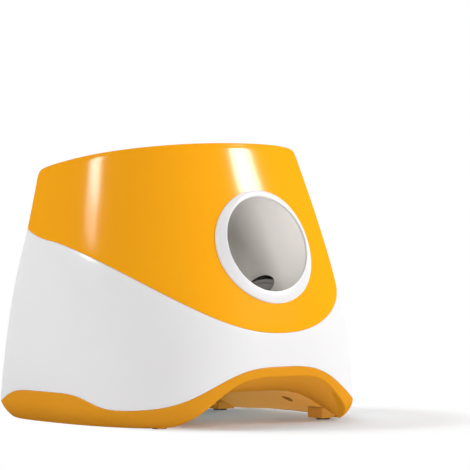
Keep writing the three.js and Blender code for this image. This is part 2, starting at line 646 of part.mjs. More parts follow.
// Bowl: an oval edge that runs down to a round throat over the feed tube
function makeBowl() {
  const throat = (u, radius, z) => [radius * Math.cos(u), elbow.turnY + radius * Math.sin(u), z];
  const throatFoot = tubeTop + gate.thickness + 2 * gate.lift;
  return closedLoop((aroundShare) => {
    const u = 2 * Math.PI * aroundShare;
    const rim = rimLevel(u);
    const edge = (inset, rise) => skin(u, rim + rise, inset);
    const shoulder = edge(bowl.shoulder, -bowl.shoulderDrop);
    const sheet = (share, lower) => {
      const [x, y] = throat(u, tube.radius, 0);
      const drop = (shoulder[2] - throatTop) * (1 - share) ** bowl.power;
      return [between(shoulder[0], x, share), between(shoulder[1], y, share), throatTop + drop - lower];
    };
    return [
      edge(bowl.edgeInset, bowl.edgeRise),
      edge(bowl.edgeInset + bowl.edgeWidth, bowl.edgeRise),
      edge(bowl.bend, -bowl.bendDrop),
      ...slopeShares.map((share) => sheet(share, 0)),
      throat(u, tube.radius, throatFoot),
      throat(u, tubeOuter, throatFoot),
      throat(u, tubeOuter, throatTop - bowl.sheet),
      ...slopeShares.slice(1, -1).reverse().map((share) => sheet(share, bowl.sheet)),
      edge(bowl.shoulder, -bowl.shoulderDrop - bowl.hidden),
      edge(wall + ledge.width + seam, clearance - ledge.drop),
      edge(bowl.edgeInset, clearance - ledge.drop),
    ];
  }, roundSteps);
}

// Collar round the mouth: its outer edge follows the skin and its inner edge is flat
function makeCollar() {
  const skinDepth = (x, rise) => {
    let depth = 0;
    for (let pass = 0; pass < 2 * skinPasses; pass += 1) {
      const point = tubePoint(x, depth, rise);
      depth += (skinY(point.x, point.z, -1) - point.y) / cosd(mouth.leanDegrees);
    }
    return depth;
  };
  const spigot = mouthRadius + collar.hoop;
  const middle = between(mouthRadius, collarRadius, 1 / 2);
  const end = tubeStart - clearance;
  return closedLoop((share) => {
    const angle = 2 * Math.PI * share;
    const at = (radius, lift, depthAt) => {
      const x = radius * Math.cos(angle);
      const rise = radius * Math.sin(angle) - lift;
      return tubePoint(x, depthAt(x, rise), rise).toArray();
    };
    const seat = (x, rise) => skinDepth(x, rise) - seam;
    const rimDepth = (x, rise) => seat(x, rise) - collar.proud;
    const crown = (x, rise) => between(rimDepth(x, rise), -collar.innerProud, 1 / 2) - collar.crown;
    return [
      at(collarRadius, mouth.lift, seat),
      at(collarRadius, mouth.lift, (x, rise) => rimDepth(x, rise) + collar.edge),
      at(collarRadius - collar.edge, mouth.lift, rimDepth),
      at(middle, mouth.lift / 2, crown),
      at(mouthRadius + collar.innerRound, 0, () => -collar.innerProud),
      at(mouthRadius, 0, () => collar.innerRound - collar.innerProud),
      at(mouthRadius, 0, () => end),
      at(spigot, 0, () => end),
      at(spigot, 0, seat),
    ];
  }, collarSteps);
}

// Launch tube

// Wheel frame: origin at the wheel's middle, +Z along its axle, +X away from the tube
function wheelFrame(side) {
  const out = across.clone().multiplyScalar(side * cosd(wheel.veeDegrees));
  out.addScaledVector(upward, -sind(wheel.veeDegrees));
  const axle = across.clone().multiplyScalar(side * sind(wheel.veeDegrees));
  axle.addScaledVector(upward, cosd(wheel.veeDegrees));
  const middle = tubePoint(0, wheel.depth, 0).addScaledVector(out, wheelReach);
  return frameOf(middle, out, axle);
}

const motorScrewPlaces = ends.map(([name, end]) => [end * mount.screwCircle, 0, name]);
const pinionReach = (gear.module * (gear.armTeeth + gear.pinionTeeth)) / 2 + gear.slack;
const pinionX = gate.pivotX + pinionReach * cosd(gear.pinionDegrees);
const pinionY = gate.pivotY + pinionReach * sind(gear.pinionDegrees);
const gateScrewReach = gearMotor.depth / 2 - smallScrew.head;
const gateScrewPlaces = ends.map(([name, end]) => [pinionX, pinionY + end * gateScrewReach, name]);
const bracketFoot = tubeTop - bracket.thickness;

// The tube's path as a solid: down from the mouth to the valley, up to the turn and up to the bowl
function tubeRun(radius, start, top) {
  const ballAt = (point) => {
    const ball = new THREE.SphereGeometry(radius, tubeSteps, tubeSteps / 2);
    return solidOf(ball.translate(point.x, point.y, point.z));
  };
  return joined(
    solidOf(rod(tubePoint(0, start, 0), valley, radius, tubeSteps)),
    ballAt(valley),
    solidOf(rod(valley, turn, radius, tubeSteps)),
    ballAt(turn),
    solidOf(rod(turn, turn.clone().setZ(top), radius, tubeSteps)),
  );
}

// What the wheel needs clear in the tube's wall: a turned cutter, wider towards its middle
function slotCutter() {
  const reach = wheelReach - tube.radius;
  const halfLength = Math.sqrt((wheel.radius + slot.gap) ** 2 - reach ** 2);
  const profile = [[0, -slot.halfHeight]];
  for (let i = -slot.steps; i <= slot.steps; i += 1) {
    const share = i / slot.steps;
    const half = halfLength * Math.sqrt(1 - share ** 2);
    profile.push([Math.hypot(reach, half), share * slot.halfHeight]);
  }
  profile.push([0, slot.halfHeight]);
  return turned(profile, tubeSteps);
}

function makeTubeHalf(side) {
  const frame = wheelFrame(side);
  const inWheelFrame = (geometry) => solidOf(geometry.applyMatrix4(frame));
  const bore = tubeRun(tube.radius, tubeStart - overrun, tubeTop + overrun);
  const tubeWalls = cutBy(tubeRun(tubeOuter, tubeStart, tubeTop), inWheelFrame(slotCutter()));
  const plate = inWheelFrame(boxBetween(
    [-mount.inner, -mount.halfSpan, -mount.top - mount.thickness],
    [mount.outer, mount.halfSpan, -mount.top],
  ));
  const noseHole = inWheelFrame(post(0, 0, -overrun / 2, 0, motor.nose + seam, roundPostSteps));
  const motorHoles = motorScrewPlaces.map(([x, y]) => {
    return inWheelFrame(post(x, y, -overrun / 2, 0, smallScrew.shank + clearance, screwSteps));
  });
  const flangeFoot = deckTop + clearance;
  const block = (x, width, depth, top) => solidOf(boxBetween(
    [side * x - width / 2, tubeLeg.y - depth / 2, flangeFoot],
    [side * x + width / 2, tubeLeg.y + depth / 2, top],
  ));
  const leg = block(tubeLeg.x, tubeLeg.width, tubeLeg.depth, elbow.turnZ - tube.radius);
  const flangeTop = flangeFoot + tubeLeg.flange;
  const flange = block(tubeLeg.flangeX, tubeLeg.flangeWidth, tubeLeg.flangeDepth, flangeTop);
  const screwPlace = [[side * tubeLeg.screwX, tubeLeg.y]];
  const legBoss = posts(screwPlace, flangeFoot, flangeFoot + screw.grip, tubeLeg.boss, roundPostSteps);
  const legHole = posts(screwPlace, 0, deck.bottom + screw.grip, screw.shank + clearance, screwSteps);
  const eye = (reach, radius) => solidOf(rod(
    new THREE.Vector3(0, elbow.turnY, sensor.z),
    new THREE.Vector3(side * reach, elbow.turnY, sensor.z),
    radius,
    roundPostSteps,
  ));
  const extras = [plate, leg, flange, ...legBoss, eye(sensorBossReach, sensor.boss)];
  const cuts = [bore, noseHole, ...motorHoles, ...legHole, eye(2 * overrun, sensor.radius + clearance)];
  if (side > 0) {
    extras.push(solidOf(boxBetween(
      [tube.radius - tube.wall, gate.pivotY - bracket.width, bracketFoot],
      [gate.pivotX + bracket.reach, gate.pivotY + bracket.width / 2, tubeTop],
    )));
    const boreAt = (places, radius, steps) => posts(places, bracketFoot - overrun, bodyHeight, radius, steps);
    cuts.push(...boreAt([[gate.pivotX, gate.pivotY]], pivot.radius + clearance, roundPostSteps));
    cuts.push(...boreAt([[pinionX, pinionY]], gearMotor.nose + seam, roundPostSteps));
    cuts.push(...boreAt(gateScrewPlaces, smallScrew.shank + clearance, screwSteps));
  }
  const half = solidOf(boxBetween(
    [side > 0 ? seam / 2 : -bodyHalfWidth, -frontReach, 0],
    [side > 0 ? bodyHalfWidth : -seam / 2, rearReach, bodyHeight],
  ));
  const throatFront = elbow.turnY - tubeOuter;
  const above = boxBetween([-bodyHalfWidth, throatFront, tubeTop], [bodyHalfWidth, rearReach, bodyHeight]);
  return cutBy(joined(tubeWalls, ...extras).intersect(half), ...cuts, solidOf(above));
}

// Wheels and motors, each in its wheel's frame

function makeHub() {
  const half = hub.width / 2;
  const web = hub.web / 2;
  const rimInner = hub.radius - hub.rim;
  const bore = shaft.radius + clearance;
  return turned([
    [bore, -half],
    [hub.boss, -half],
    [hub.boss, -web],
    [rimInner, -web],
    [rimInner, -half],
    [hub.radius, -half],
    [hub.radius, half],
    [rimInner, half],
    [rimInner, web],
    [hub.boss, web],
    [hub.boss, half],
    [bore, half],
    [bore, -half],
  ], wheelSteps);
}

function makeTyre() {
  const half = wheel.width / 2;
  const inner = hub.radius + clearance;
  const edge = wheel.radius - wheel.edgeDrop;
  return turned([
    [inner, -half],
    [edge, -half],
    [wheel.radius, wheel.shoulder - half],
    [wheel.radius, half - wheel.shoulder],
    [edge, half],
    [inner, half],
    [inner, -half],
  ], wheelSteps);
}

const shaftFoot = -motor.top - shaft.below;

function makeMotor() {
  const low = -motor.top - motor.length;
  const bore = shaft.radius + clearance;
  const can = turned([
    [0, low - motor.capHeight],
    [motor.cap, low - motor.capHeight],
    [motor.cap, low],
    [motor.radius - seam, low],
    [motor.radius, low + seam],
    [motor.radius, -motor.top - seam],
    [motor.radius - seam, -motor.top],
    [motor.nose, -motor.top],
    [motor.nose, motor.noseHeight - motor.top],
    [bore, motor.noseHeight - motor.top],
    [bore, shaftFoot - clearance],
    [0, shaftFoot - clearance],
  ], wheelSteps);
  const holeFoot = -motor.top - smallScrew.grip;
  const holes = posts(motorScrewPlaces, holeFoot, 0, smallScrew.shank + clearance, screwSteps);
  return cutBy(solidOf(can), ...holes);
}

// Release gate

// A gear outline with straight-sided teeth over some of its turn; the rest follows the hub
function gearOutline(teeth, fromDegrees, turnDegrees, hubRadius) {
  const pitchRadius = (gear.module * teeth) / 2;
  const root = pitchRadius - gearShares.root * gear.module;
  const tip = pitchRadius + gearShares.tip * gear.module;
  const step = 360 / teeth;
  const count = Math.floor(turnDegrees / step);
  const points = [];
  const add = (radius, degrees) => {
    points.push(new THREE.Vector2(radius * cosd(degrees), radius * sind(degrees)));
  };
  for (let i = 0; i < count; i += 1) {
    const middle = fromDegrees + (i + 1 / 2) * step;
    add(root, middle - gearShares.rootHalf * step);
    add(tip, middle - gearShares.tipHalf * step);
    add(tip, middle + gearShares.tipHalf * step);
    add(root, middle + gearShares.rootHalf * step);
  }
  const rest = 360 - count * step;
  if (rest > step) {
    for (const share of gearBackShares) add(hubRadius, fromDegrees + count * step + rest * share);
  }
  return new THREE.ExtrudeGeometry(new THREE.Shape(points), { depth: gate.thickness, bevelEnabled: false });
}

const armMiddle = gate.closedDegrees - gate.travel / 2;
const sectorFrom = gear.pinionDegrees - armMiddle - gear.sectorDegrees / 2;
const firstTooth = sectorFrom + 180 / gear.armTeeth + gate.closedDegrees - gear.pinionDegrees;
const pinionTurn = gear.pinionDegrees + 180 - (firstTooth * gear.armTeeth) / gear.pinionTeeth;
const armFoot = tubeTop + gate.lift;

// The arm lies along +X from its pivot, with its teeth on the other side
function makeGateArm() {
  const round = gate.bladeWidth / 2;
  const blade = solidOf(boxBetween([0, -round, 0], [gate.blade - round, round, gate.thickness]));
  const tip = solidOf(post(gate.blade - round, 0, 0, gate.thickness, round, roundPostSteps));
  const hole = pivot.radius + clearance;
  const sector = solidOf(gearOutline(gear.armTeeth, sectorFrom, gear.sectorDegrees, hole));
  const eye = solidOf(post(0, 0, 0, gate.thickness, pivot.hub, roundPostSteps));
  const bore = solidOf(post(0, 0, -overrun, overrun, hole, roundPostSteps));
  return cutBy(joined(blade, tip, sector, eye), bore);
}

function makePinion() {
  const teeth = solidOf(gearOutline(gear.pinionTeeth, 0, 360, 0));
  const stem = solidOf(post(0, 0, -gearMotor.stem, gate.thickness / 2, gearMotor.shaft, screwSteps));
  return joined(teeth, stem);
}

function makeGateMotor() {
  const top = bracketFoot - clearance;
  const box = solidOf(boxBetween(
    [pinionX - gearMotor.width / 2, pinionY - gearMotor.depth / 2, top - gearMotor.height],
    [pinionX + gearMotor.width / 2, pinionY + gearMotor.depth / 2, top],
  ));
  const middle = [[pinionX, pinionY]];
  const noseTop = top + gearMotor.noseHeight;
  const nose = posts(middle, top - gearMotor.noseHeight, noseTop, gearMotor.nose, roundPostSteps);
  const stemFoot = armFoot - gearMotor.stem - clearance;
  const stemHole = posts(middle, stemFoot, bodyHeight, gearMotor.shaft + clearance, screwSteps);
  const shank = smallScrew.shank + clearance;
  const holes = posts(gateScrewPlaces, top - smallScrew.grip, bodyHeight, shank, screwSteps);
  return cutBy(joined(box, ...nose), ...stemHole, ...holes);
}

// Battery bay

function makeBatteryBox() {
  const low = pan.floor + pan.sheet + clearance;
  const tall = battery.top;
  const half = battery.halfWidth;
  const outer = solidOf(boxBetween([-half, battery.front, low], [half, battery.rear, tall]));
  const innerHalf = half - battery.wall;
  const inner = solidOf(boxBetween(
    [-innerHalf, battery.front + battery.wall, -overrun],
    [innerHalf, battery.rear - battery.wall, tall - battery.wall],
  ));
  const bossPlace = [[batteryCover.tabX, batteryCover.tabY]];
  const boss = posts(bossPlace, low, low + batteryCover.bossHeight, batteryCover.boss, roundPostSteps);
  const hole = posts(bossPlace, -overrun, low + smallScrew.grip, smallScrew.shank + clearance, screwSteps);
  return cutBy(joined(outer, ...boss), inner, ...hole);
}

const coverFoot = pan.floor + (pan.sheet - batteryCover.sheet) / 2;

function makeBatteryCover() {
  const top = coverFoot + batteryCover.sheet;
  const plate = solidOf(boxBetween(
    [clearance - battery.openHalf, battery.openFront + clearance, coverFoot],
    [battery.openHalf - clearance, battery.openRear - clearance, top],
  ));
  const tabHalf = batteryCover.tabDepth / 2 - clearance;
  const tabEnd = batteryCover.tabX + batteryCover.tabWidth / 2 - clearance;
  const tab = solidOf(boxBetween(
    [0, batteryCover.tabY - tabHalf, coverFoot],
    [tabEnd, batteryCover.tabY + tabHalf, top],
  ));
  const place = [[batteryCover.tabX, batteryCover.tabY]];
  const hole = posts(place, -overrun, overrun, smallScrew.shank + clearance, screwSteps);
  return cutBy(joined(plate, tab), ...hole);
}

// A contact plate on the box's end wall, with two coiled ends towards the cells
function makeContact(side) {
  const outer = battery.halfWidth - battery.wall - clearance;
  const y = (battery.front + battery.rear) / 2;
  const xs = [side * outer, side * (outer - contact.thickness)].sort((a, b) => a - b);
  const plate = solidOf(boxBetween(
    [xs[0], y - contact.width / 2, contact.z - contact.height / 2],
    [xs[1], y + contact.width / 2, contact.z + contact.height / 2],
  ));
  const coils = ends.map(([, end]) => {
    const cone = new THREE.CylinderGeometry(contact.coilTip, contact.coil, contact.coilHeight, screwSteps);
    const reach = outer - contact.thickness / 2 - contact.coilHeight / 2;
    cone.rotateZ((side * Math.PI) / 2).translate(side * reach, y + (end * contact.spacing) / 2, contact.z);
    return solidOf(cone);
  });
  return joined(plate, ...coils);
}

// Electrics

function makeMainBoard() {
  const low = deckTop + board.lift + clearance;
  const top = low + board.thickness;
  const corner = (sx, sy, z) => [board.x + (sx * board.width) / 2, board.y + (sy * board.depth) / 2, z];
  const plate = solidOf(boxBetween(corner(-1, -1, low), corner(1, 1, top)));
  const parts = boardParts.map(([x, y, width, depth, height]) => solidOf(boxBetween(
    [board.x + x - width / 2, board.y + y - depth / 2, (low + top) / 2],
    [board.x + x + width / 2, board.y + y + depth / 2, top + height],
  )));
  return joined(plate, ...parts);
}

function makeSpeaker() {
  const step = speaker.step;
  return turned([
    [0, 0],
    [speaker.radius - step, 0],
    [speaker.radius - step, speaker.height - step],
    [speaker.radius, speaker.height - step],
    [speaker.radius, speaker.height],
    [speaker.radius - step, speaker.height],
    [step, speaker.height - step / 2],
    [0, speaker.height - step / 2],
  ], wheelSteps);
}

// Power inlet, turned about +Z with its open end at the top
function makeJack() {
  const flangeFront = wall + jack.flangeGap;
  const flangeBack = flangeFront + jack.flangeSheet;
  return turned([
    [0, -jack.back],
    [jack.radius, -jack.back],
    [jack.radius, -flangeBack],
    [jack.flange, -flangeBack],
    [jack.flange, -flangeFront],
    [jack.radius, -flangeFront],
    [jack.radius, -jack.front],
    [jack.bore, -jack.front],
    [jack.bore, -jack.boreDepth],
    [jack.pin, -jack.boreDepth],
    [jack.pin, -jack.pinDepth],
    [0, -jack.pinDepth],
  ], roundPostSteps);
}

// Ball sensor, turned about +Z with its tip at the top
function makeSensor() {
  const rimFront = sensorBossReach + clearance - tube.radius - sensor.inset;
  return turned([
    [0, -sensor.length],
    [sensor.radius, -sensor.length],
    [sensor.radius, -rimFront - sensor.rimLength],
    [sensor.rim, -rimFront - sensor.rimLength],
    [sensor.rim, -rimFront],
    [sensor.radius, -rimFront],
    [sensor.radius, -sensor.inset],
    [sensor.radius - sensor.inset, 0],
    [0, 0],
  ], roundPostSteps);
}

// Control panel, in its own frame

const boardFace = panelBack - controlBoard.depth;
const panelPostPlaces = sides.map(([name, side]) => [side * panelPost.x, 0, name]);
const buttonPlaces = [["power", -1], ["distance", 1]].map(([name, side]) => [side * button.offset, 0, name]);

function makePanel() {
  const flat = roundedPlate(panel.width, panel.height, panel.corner, panel.sheet);
  const plate = solidOf(placed(flat, upright, panelBack));
  const low = boardFace;
  const postTop = panelFace - panel.sheet / 2;
  const standoffs = posts(panelPostPlaces, low + clearance, postTop, panelPost.radius, screwSteps);
  const buttonHoles = posts(buttonPlaces, -overrun, overrun, button.radius + clearance, tubeSteps);
  const shank = smallScrew.shank + clearance;
  const screwHoles = posts(panelPostPlaces, low, low + smallScrew.grip, shank, screwSteps);
  const gap = 2 * clearance;
  const lensHole = roundedPlate(lens.width + gap, lens.height + gap, lens.corner + clearance, 2 * overrun);
  const lensCut = solidOf(placed(lensHole.translate(0, lens.y, 0), upright, -overrun));
  return cutBy(joined(plate, ...standoffs), ...buttonHoles, ...screwHoles, lensCut);
}

// A button cap with a skirt behind the panel and a stem towards its switch
function makeButton() {
  const top = panelFace + button.proud;
  const skirtTop = panelBack - clearance;
  const stemFoot = boardFace + controlBoard.switchHeight + button.travel + clearance;
  return turned([
    [0, stemFoot],
    [button.stem, stemFoot],
    [button.stem, skirtTop - button.skirtHeight],
    [button.skirt, skirtTop - button.skirtHeight],
    [button.skirt, skirtTop],
    [button.radius, skirtTop],
    [button.radius, top - button.round],
    [button.radius - button.round, top],
    [0, top],
  ], tubeSteps);
}

function makeControlBoard() {
  const low = boardFace - controlBoard.thickness;
  const x = controlBoard.width / 2;
  const y = controlBoard.height / 2;
  const plate = solidOf(boxBetween([-x, -y, low], [x, y, boardFace]));
  const reach = controlBoard.switchSize / 2;
  const switches = buttonPlaces.map(([middle]) => solidOf(boxBetween(
    [middle - reach, -reach, low + controlBoard.thickness / 2],
    [middle + reach, reach, boardFace + controlBoard.switchHeight],
  )));
  const holes = posts(panelPostPlaces, -overrun, overrun, smallScrew.shank + clearance, screwSteps);
  return cutBy(joined(plate, ...switches), ...holes);
}

function makeLens() {
  const flangeTop = panelBack - clearance;
  const windowLength = panelFace + lens.proud - flangeTop + lens.flangeSheet / 2;
  const window = roundedPlate(lens.width, lens.height, lens.corner, windowLength);
  const wide = 2 * lens.flange;
  const flangePlate = roundedPlate(lens.width + wide, lens.height + wide, lens.corner, lens.flangeSheet);
  return joined(
    solidOf(placed(window.translate(0, lens.y, 0), upright, flangeTop - lens.flangeSheet / 2)),
    solidOf(placed(flangePlate.translate(0, lens.y, 0), upright, flangeTop - lens.flangeSheet)),
  );
}

// Screw pointing up +Z from the underside of its head, with a plain drive recess
function makeScrew(kind, length) {
  const head = kind.headHeight;
  return turned([
    [0, kind.driveDepth - head],
    [kind.drive, kind.driveDepth - head],
    [kind.drive, -head],
    [kind.head * crownShare, -head],
    [kind.head, 0],
    [kind.shank, 0],
    [0, length],
  ], screwSteps);
}

// The assembly
const part = new THREE.Group();

function addPiece(name, shape, material, parent = part) {
  const geometry = shape.isBufferGeometry ? shape : geometryOf(shape);
  const mesh = new THREE.Mesh(geometry, material.clone());
  mesh.name = name;
  parent.add(mesh);
  return mesh;
}

function addFrame(matrix) {
  const group = new THREE.Group();
  matrix.decompose(group.position, group.quaternion, group.scale);
  part.add(group);
  return group;
}

addPiece("upper_housing", makeUpperHousing(), finish.orange);
addPiece("middle_housing", makeMiddleHousing(), finish.white);
addPiece("base_housing", makeBaseHousing(), finish.orangeBase);
addPiece("bottom_pan", makeBottomPan(), finish.orangePan);
addPiece("hopper_bowl", makeBowl(), finish.bowlWhite);
addPiece("launch_collar", makeCollar(), finish.collarWhite);

for (const [x, y, name] of footPlaces) {
  const pad = post(0, 0, 0, foot.padHeight, foot.padRadius, roundPostSteps);
  addPiece(`foot_pad_${name}`, pad, finish.rubber).position.set(x, y, 0);
}

for (const [name, side] of sides) {
  addPiece(`launch_tube_${name}`, makeTubeHalf(side), finish.whiteInner);
  const frame = addFrame(wheelFrame(side));
  addPiece(`wheel_hub_${name}`, makeHub(), finish.charcoal, frame);
  addPiece(`wheel_tyre_${name}`, makeTyre(), finish.wheelGrey, frame);
  const rodShape = post(0, 0, shaftFoot, shaft.above, shaft.radius, roundPostSteps);
  addPiece(`wheel_shaft_${name}`, rodShape, finish.steel, frame);
  addPiece(`wheel_motor_${name}`, makeMotor(), finish.motorSteel, frame);
  for (const [x, y, end] of motorScrewPlaces) {
    const length = mount.thickness + smallScrew.grip - clearance;
    const shape = makeScrew(smallScrew, length);
    const mesh = addPiece(`wheel_motor_screw_${name}_${end}`, shape, finish.steel, frame);
    mesh.rotation.x = Math.PI;
    mesh.position.set(x, y, screwSeat - mount.top);
  }
}

const arm = addPiece("gate_arm", makeGateArm(), finish.charcoal);
arm.position.set(gate.pivotX, gate.pivotY, armFoot);
arm.rotation.z = THREE.MathUtils.degToRad(gate.closedDegrees);
const pinion = addPiece("gate_pinion", makePinion(), finish.whiteInner);
pinion.position.set(pinionX, pinionY, armFoot);
pinion.rotation.z = THREE.MathUtils.degToRad(pinionTurn);
addPiece("gate_motor", makeGateMotor(), finish.charcoal);
const pin = turned([
  [0, -pivot.below],
  [pivot.radius, -pivot.below],
  [pivot.radius, pivot.above - pivot.capHeight],
  [pivot.cap, pivot.above - pivot.capHeight],
  [pivot.cap, pivot.above],
  [0, pivot.above],
], roundPostSteps);
addPiece("gate_pivot_pin", pin, finish.steel).position.set(gate.pivotX, gate.pivotY, tubeTop);

addPiece("battery_box", makeBatteryBox(), finish.charcoal);
addPiece("battery_cover", makeBatteryCover(), finish.orangePan);
for (const [name, side] of sides) addPiece(`battery_contact_${name}`, makeContact(side), finish.brass);
addPiece("main_board", makeMainBoard(), finish.boardGreen);
addPiece("speaker", makeSpeaker(), finish.charcoal).position.set(speaker.x, speaker.y, deckTop + clearance);
const inlet = addPiece("power_inlet", makeJack().rotateX(-Math.PI / 2), finish.charcoal);
inlet.position.set(jack.x, jackY, jack.z);
for (const [kind, side] of [["emitter", -1], ["receiver", 1]]) {
  const eye = addPiece(`ball_sensor_${kind}`, makeSensor(), finish.charcoal);
  eye.rotation.y = (-side * Math.PI) / 2;
  eye.position.set(side * (tube.radius + sensor.inset), elbow.turnY, sensor.z);
}

const panelGroup = addFrame(panelFrame);
addPiece("control_panel", makePanel(), finish.panelGrey, panelGroup);
addPiece("control_board", makeControlBoard(), finish.boardGreen, panelGroup);
addPiece("indicator_lens", makeLens(), finish.lens, panelGroup);
for (const [x, y, name] of buttonPlaces) {
  const colour = name === "power" ? finish.orange : finish.white;
  addPiece(`${name}_button`, makeButton(), colour, panelGroup).position.set(x, y, 0);
}
for (const [x, y, name] of panelPostPlaces) {
  const length = controlBoard.thickness + smallScrew.grip - clearance;
  const shape = makeScrew(smallScrew, length);
  const mesh = addPiece(`control_board_screw_${name}`, shape, finish.steel, panelGroup);
  mesh.position.set(x, y, boardFace - controlBoard.thickness - screwSeat);
}

// Screws that point straight up from below
function addScrews(label, places, kind, seatZ, length) {
  for (const [x, y, name] of places) {
    addPiece(`${label}_${name}`, makeScrew(kind, length), finish.steel).position.set(x, y, seatZ - screwSeat);
  }
}
addScrews("pan_screw", panScrewPlaces, screw, panScrew.seat, screw.grip - clearance);
addScrews("housing_screw", housingScrewPlaces, screw, deck.bottom, deck.thickness + screw.grip - clearance);
addScrews("tube_screw", legScrewPlaces, screw, deck.bottom, screw.grip - clearance);
const coverScrewPlace = [batteryCover.tabX, batteryCover.tabY, "screw"];
const coverScrewLength = batteryCover.sheet + smallScrew.grip - clearance;
addScrews("battery_cover", [coverScrewPlace], smallScrew, coverFoot, coverScrewLength);
for (const [x, y, name] of gateScrewPlaces) {
  const length = bracket.thickness + smallScrew.grip - clearance;
  const mesh = addPiece(`gate_motor_screw_${name}`, makeScrew(smallScrew, length), finish.steel);
  mesh.rotation.x = Math.PI;
  mesh.position.set(x, y, tubeTop + screwSeat);
}

export default part;
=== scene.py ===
"""Looks of the automatic ball launcher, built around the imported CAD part.

The body's skin and the pieces seen from outside are fine surfaces, worked out from the same formulas as the
part's solids. The inner pieces keep their CAD mesh and get a procedural finish. Lengths in the formulas are
millimetres, and piece() turns them into metres."""

import json
import math

import bpy
import numpy as np
from mathutils import Matrix, Vector


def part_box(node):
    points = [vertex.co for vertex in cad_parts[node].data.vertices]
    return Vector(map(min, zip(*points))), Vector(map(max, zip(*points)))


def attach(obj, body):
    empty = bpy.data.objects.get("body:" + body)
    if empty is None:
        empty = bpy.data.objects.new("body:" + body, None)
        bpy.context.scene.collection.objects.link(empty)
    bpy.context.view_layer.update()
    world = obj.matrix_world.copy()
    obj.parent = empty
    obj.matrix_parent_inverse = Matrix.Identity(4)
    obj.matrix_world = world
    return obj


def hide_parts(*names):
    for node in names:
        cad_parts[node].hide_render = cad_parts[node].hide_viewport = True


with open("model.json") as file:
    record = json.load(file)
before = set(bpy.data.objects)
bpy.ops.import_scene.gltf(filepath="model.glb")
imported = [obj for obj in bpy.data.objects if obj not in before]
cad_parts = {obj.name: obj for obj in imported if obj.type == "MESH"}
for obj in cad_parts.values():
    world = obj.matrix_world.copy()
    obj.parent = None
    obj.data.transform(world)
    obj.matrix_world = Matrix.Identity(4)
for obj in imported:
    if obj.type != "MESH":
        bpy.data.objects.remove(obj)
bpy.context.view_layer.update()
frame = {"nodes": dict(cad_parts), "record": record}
scene = bpy.context.scene

MM = 0.001
PI, TAU = math.pi, 2 * math.pi
FRONT, REAR = -1, 1
FAR_OFF = 1e3

# Camera: level, in front of the body and to its left
CAMERA_PLACE = Vector((-1.13944, -1.52669, 0.14084))
CAMERA_HEADING, CAMERA_RISE = math.radians(37.968497), 0.000244
FILM_MM, FOCAL_MM = 36, 188.58


def add_camera():
    """A camera that looks along its heading, turned from +Y towards +X, and rises very slightly."""
    data = bpy.data.cameras.new("camera")
    data.sensor_width = FILM_MM
    data.lens = FOCAL_MM
    data.clip_start = 0.05
    data.clip_end = 30
    camera = bpy.data.objects.new("camera", data)
    scene.collection.objects.link(camera)
    right = Vector((math.cos(CAMERA_HEADING), -math.sin(CAMERA_HEADING), 0))
    forward = Vector((math.sin(CAMERA_HEADING), math.cos(CAMERA_HEADING), CAMERA_RISE)).normalized()
    turn = Matrix((right, right.cross(forward), -forward)).transposed().to_4x4()
    camera.matrix_world = Matrix.Translation(CAMERA_PLACE) @ turn
    scene.camera = camera


add_camera()

# The skin's driving sizes
BODY_HEIGHT, HALF_WIDTH, FRONT_REACH, REAR_REACH = 210.0, 122.0, 146.0, 110.0
WAIST, HEM_INSET, RIM_RISE, RIM_FALL = 16.0, 10.0, 2.0, 0.125
# Shares of the half width and the two reaches at five even levels, from the waist to the rim
WIDTH_SHARES = np.array([1, 0.98, 0.947, 0.869, 0.783])
FRONT_SHARES = np.array([1, 0.969, 0.89, 0.788, 0.658])
REAR_SHARES = np.array([1, 0.945, 0.864, 0.8, 0.791])
# Powers of the rounded oval at the waist and at the rim
FRONT_POWERS, REAR_POWERS = (2.6, 2.2), (2.9, 2.75)
CENTRE_Y = (FRONT_REACH - REAR_REACH) / 2
WALL = 3.0
# Keeps the fine skin inside the box of the faceted one
SKIN_INSET = 0.05
# The line between orange and white: its height behind and in front, its half width in degrees and its power
COLOUR_REAR, COLOUR_FRONT, COLOUR_HALF, COLOUR_POWER = 151.7, 69.3, 66.2, 1.73
# The base band and what is under it: levels, and humps given by rise, half width and power
BAND_LOW, HEM_LOW = 13.3, 0.8
BAND_ARCH, BAND_SWELL, SWELL_Y = (31.5, 70.5, 3.3), (11.0, 59.0, 5), 12.0
HEM_ARCH, TUNNEL_ARCH = (36.6, 63.0, 4.1), (24.7, 71.3, 4.2)
# The mouth and the launch tube. Its path leads down from the mouth to a valley, up to the turn, and from
# there straight up to the top
MOUTH_Z, MOUTH_LEAN, MOUTH_LIFT = 134.8, math.radians(17), 2.0
MOUTH_R, TUBE_R, TUBE_OUT = 36.6, 37.0, 39.5
VALLEY_DEPTH, TOP_Z = 86.0, 146.8
TURN = np.array([0.0, 13.0, 126.5])
# Rounds of the searches for a turn on the skin, a point on the skin and a point on a cut's line
TURN_ROUNDS, MOVE_ROUNDS, CUT_ROUNDS = 5, 14, 6


def bell(d, rise, half, power):
    """A hump: rise at the middle, falling to rise / e at the distance half, steeper with a higher power."""
    return rise * np.exp(-((np.abs(d) / half) ** power))


def along_levels(values, share):
    """A smooth cubic curve through values at even levels, from share 0 at the waist to 1 at the rim."""
    last = len(values) - 1
    place = np.clip(share, 0, 1) * last
    i = np.minimum(np.floor(place).astype(int), last - 1)
    w = place - i
    wide = np.concatenate(([2 * values[0] - values[1]], values, [2 * values[-1] - values[-2]]))
    p0, p1, p2, p3 = wide[i], wide[i + 1], wide[i + 2], wide[i + 3]
    slope = p2 - p0
    square = 2 * p0 - 5 * p1 + 4 * p2 - p3
    cube = 3 * p1 - p0 - 3 * p2 + p3
    return p1 + (slope * w + square * w**2 + cube * w**3) / 2


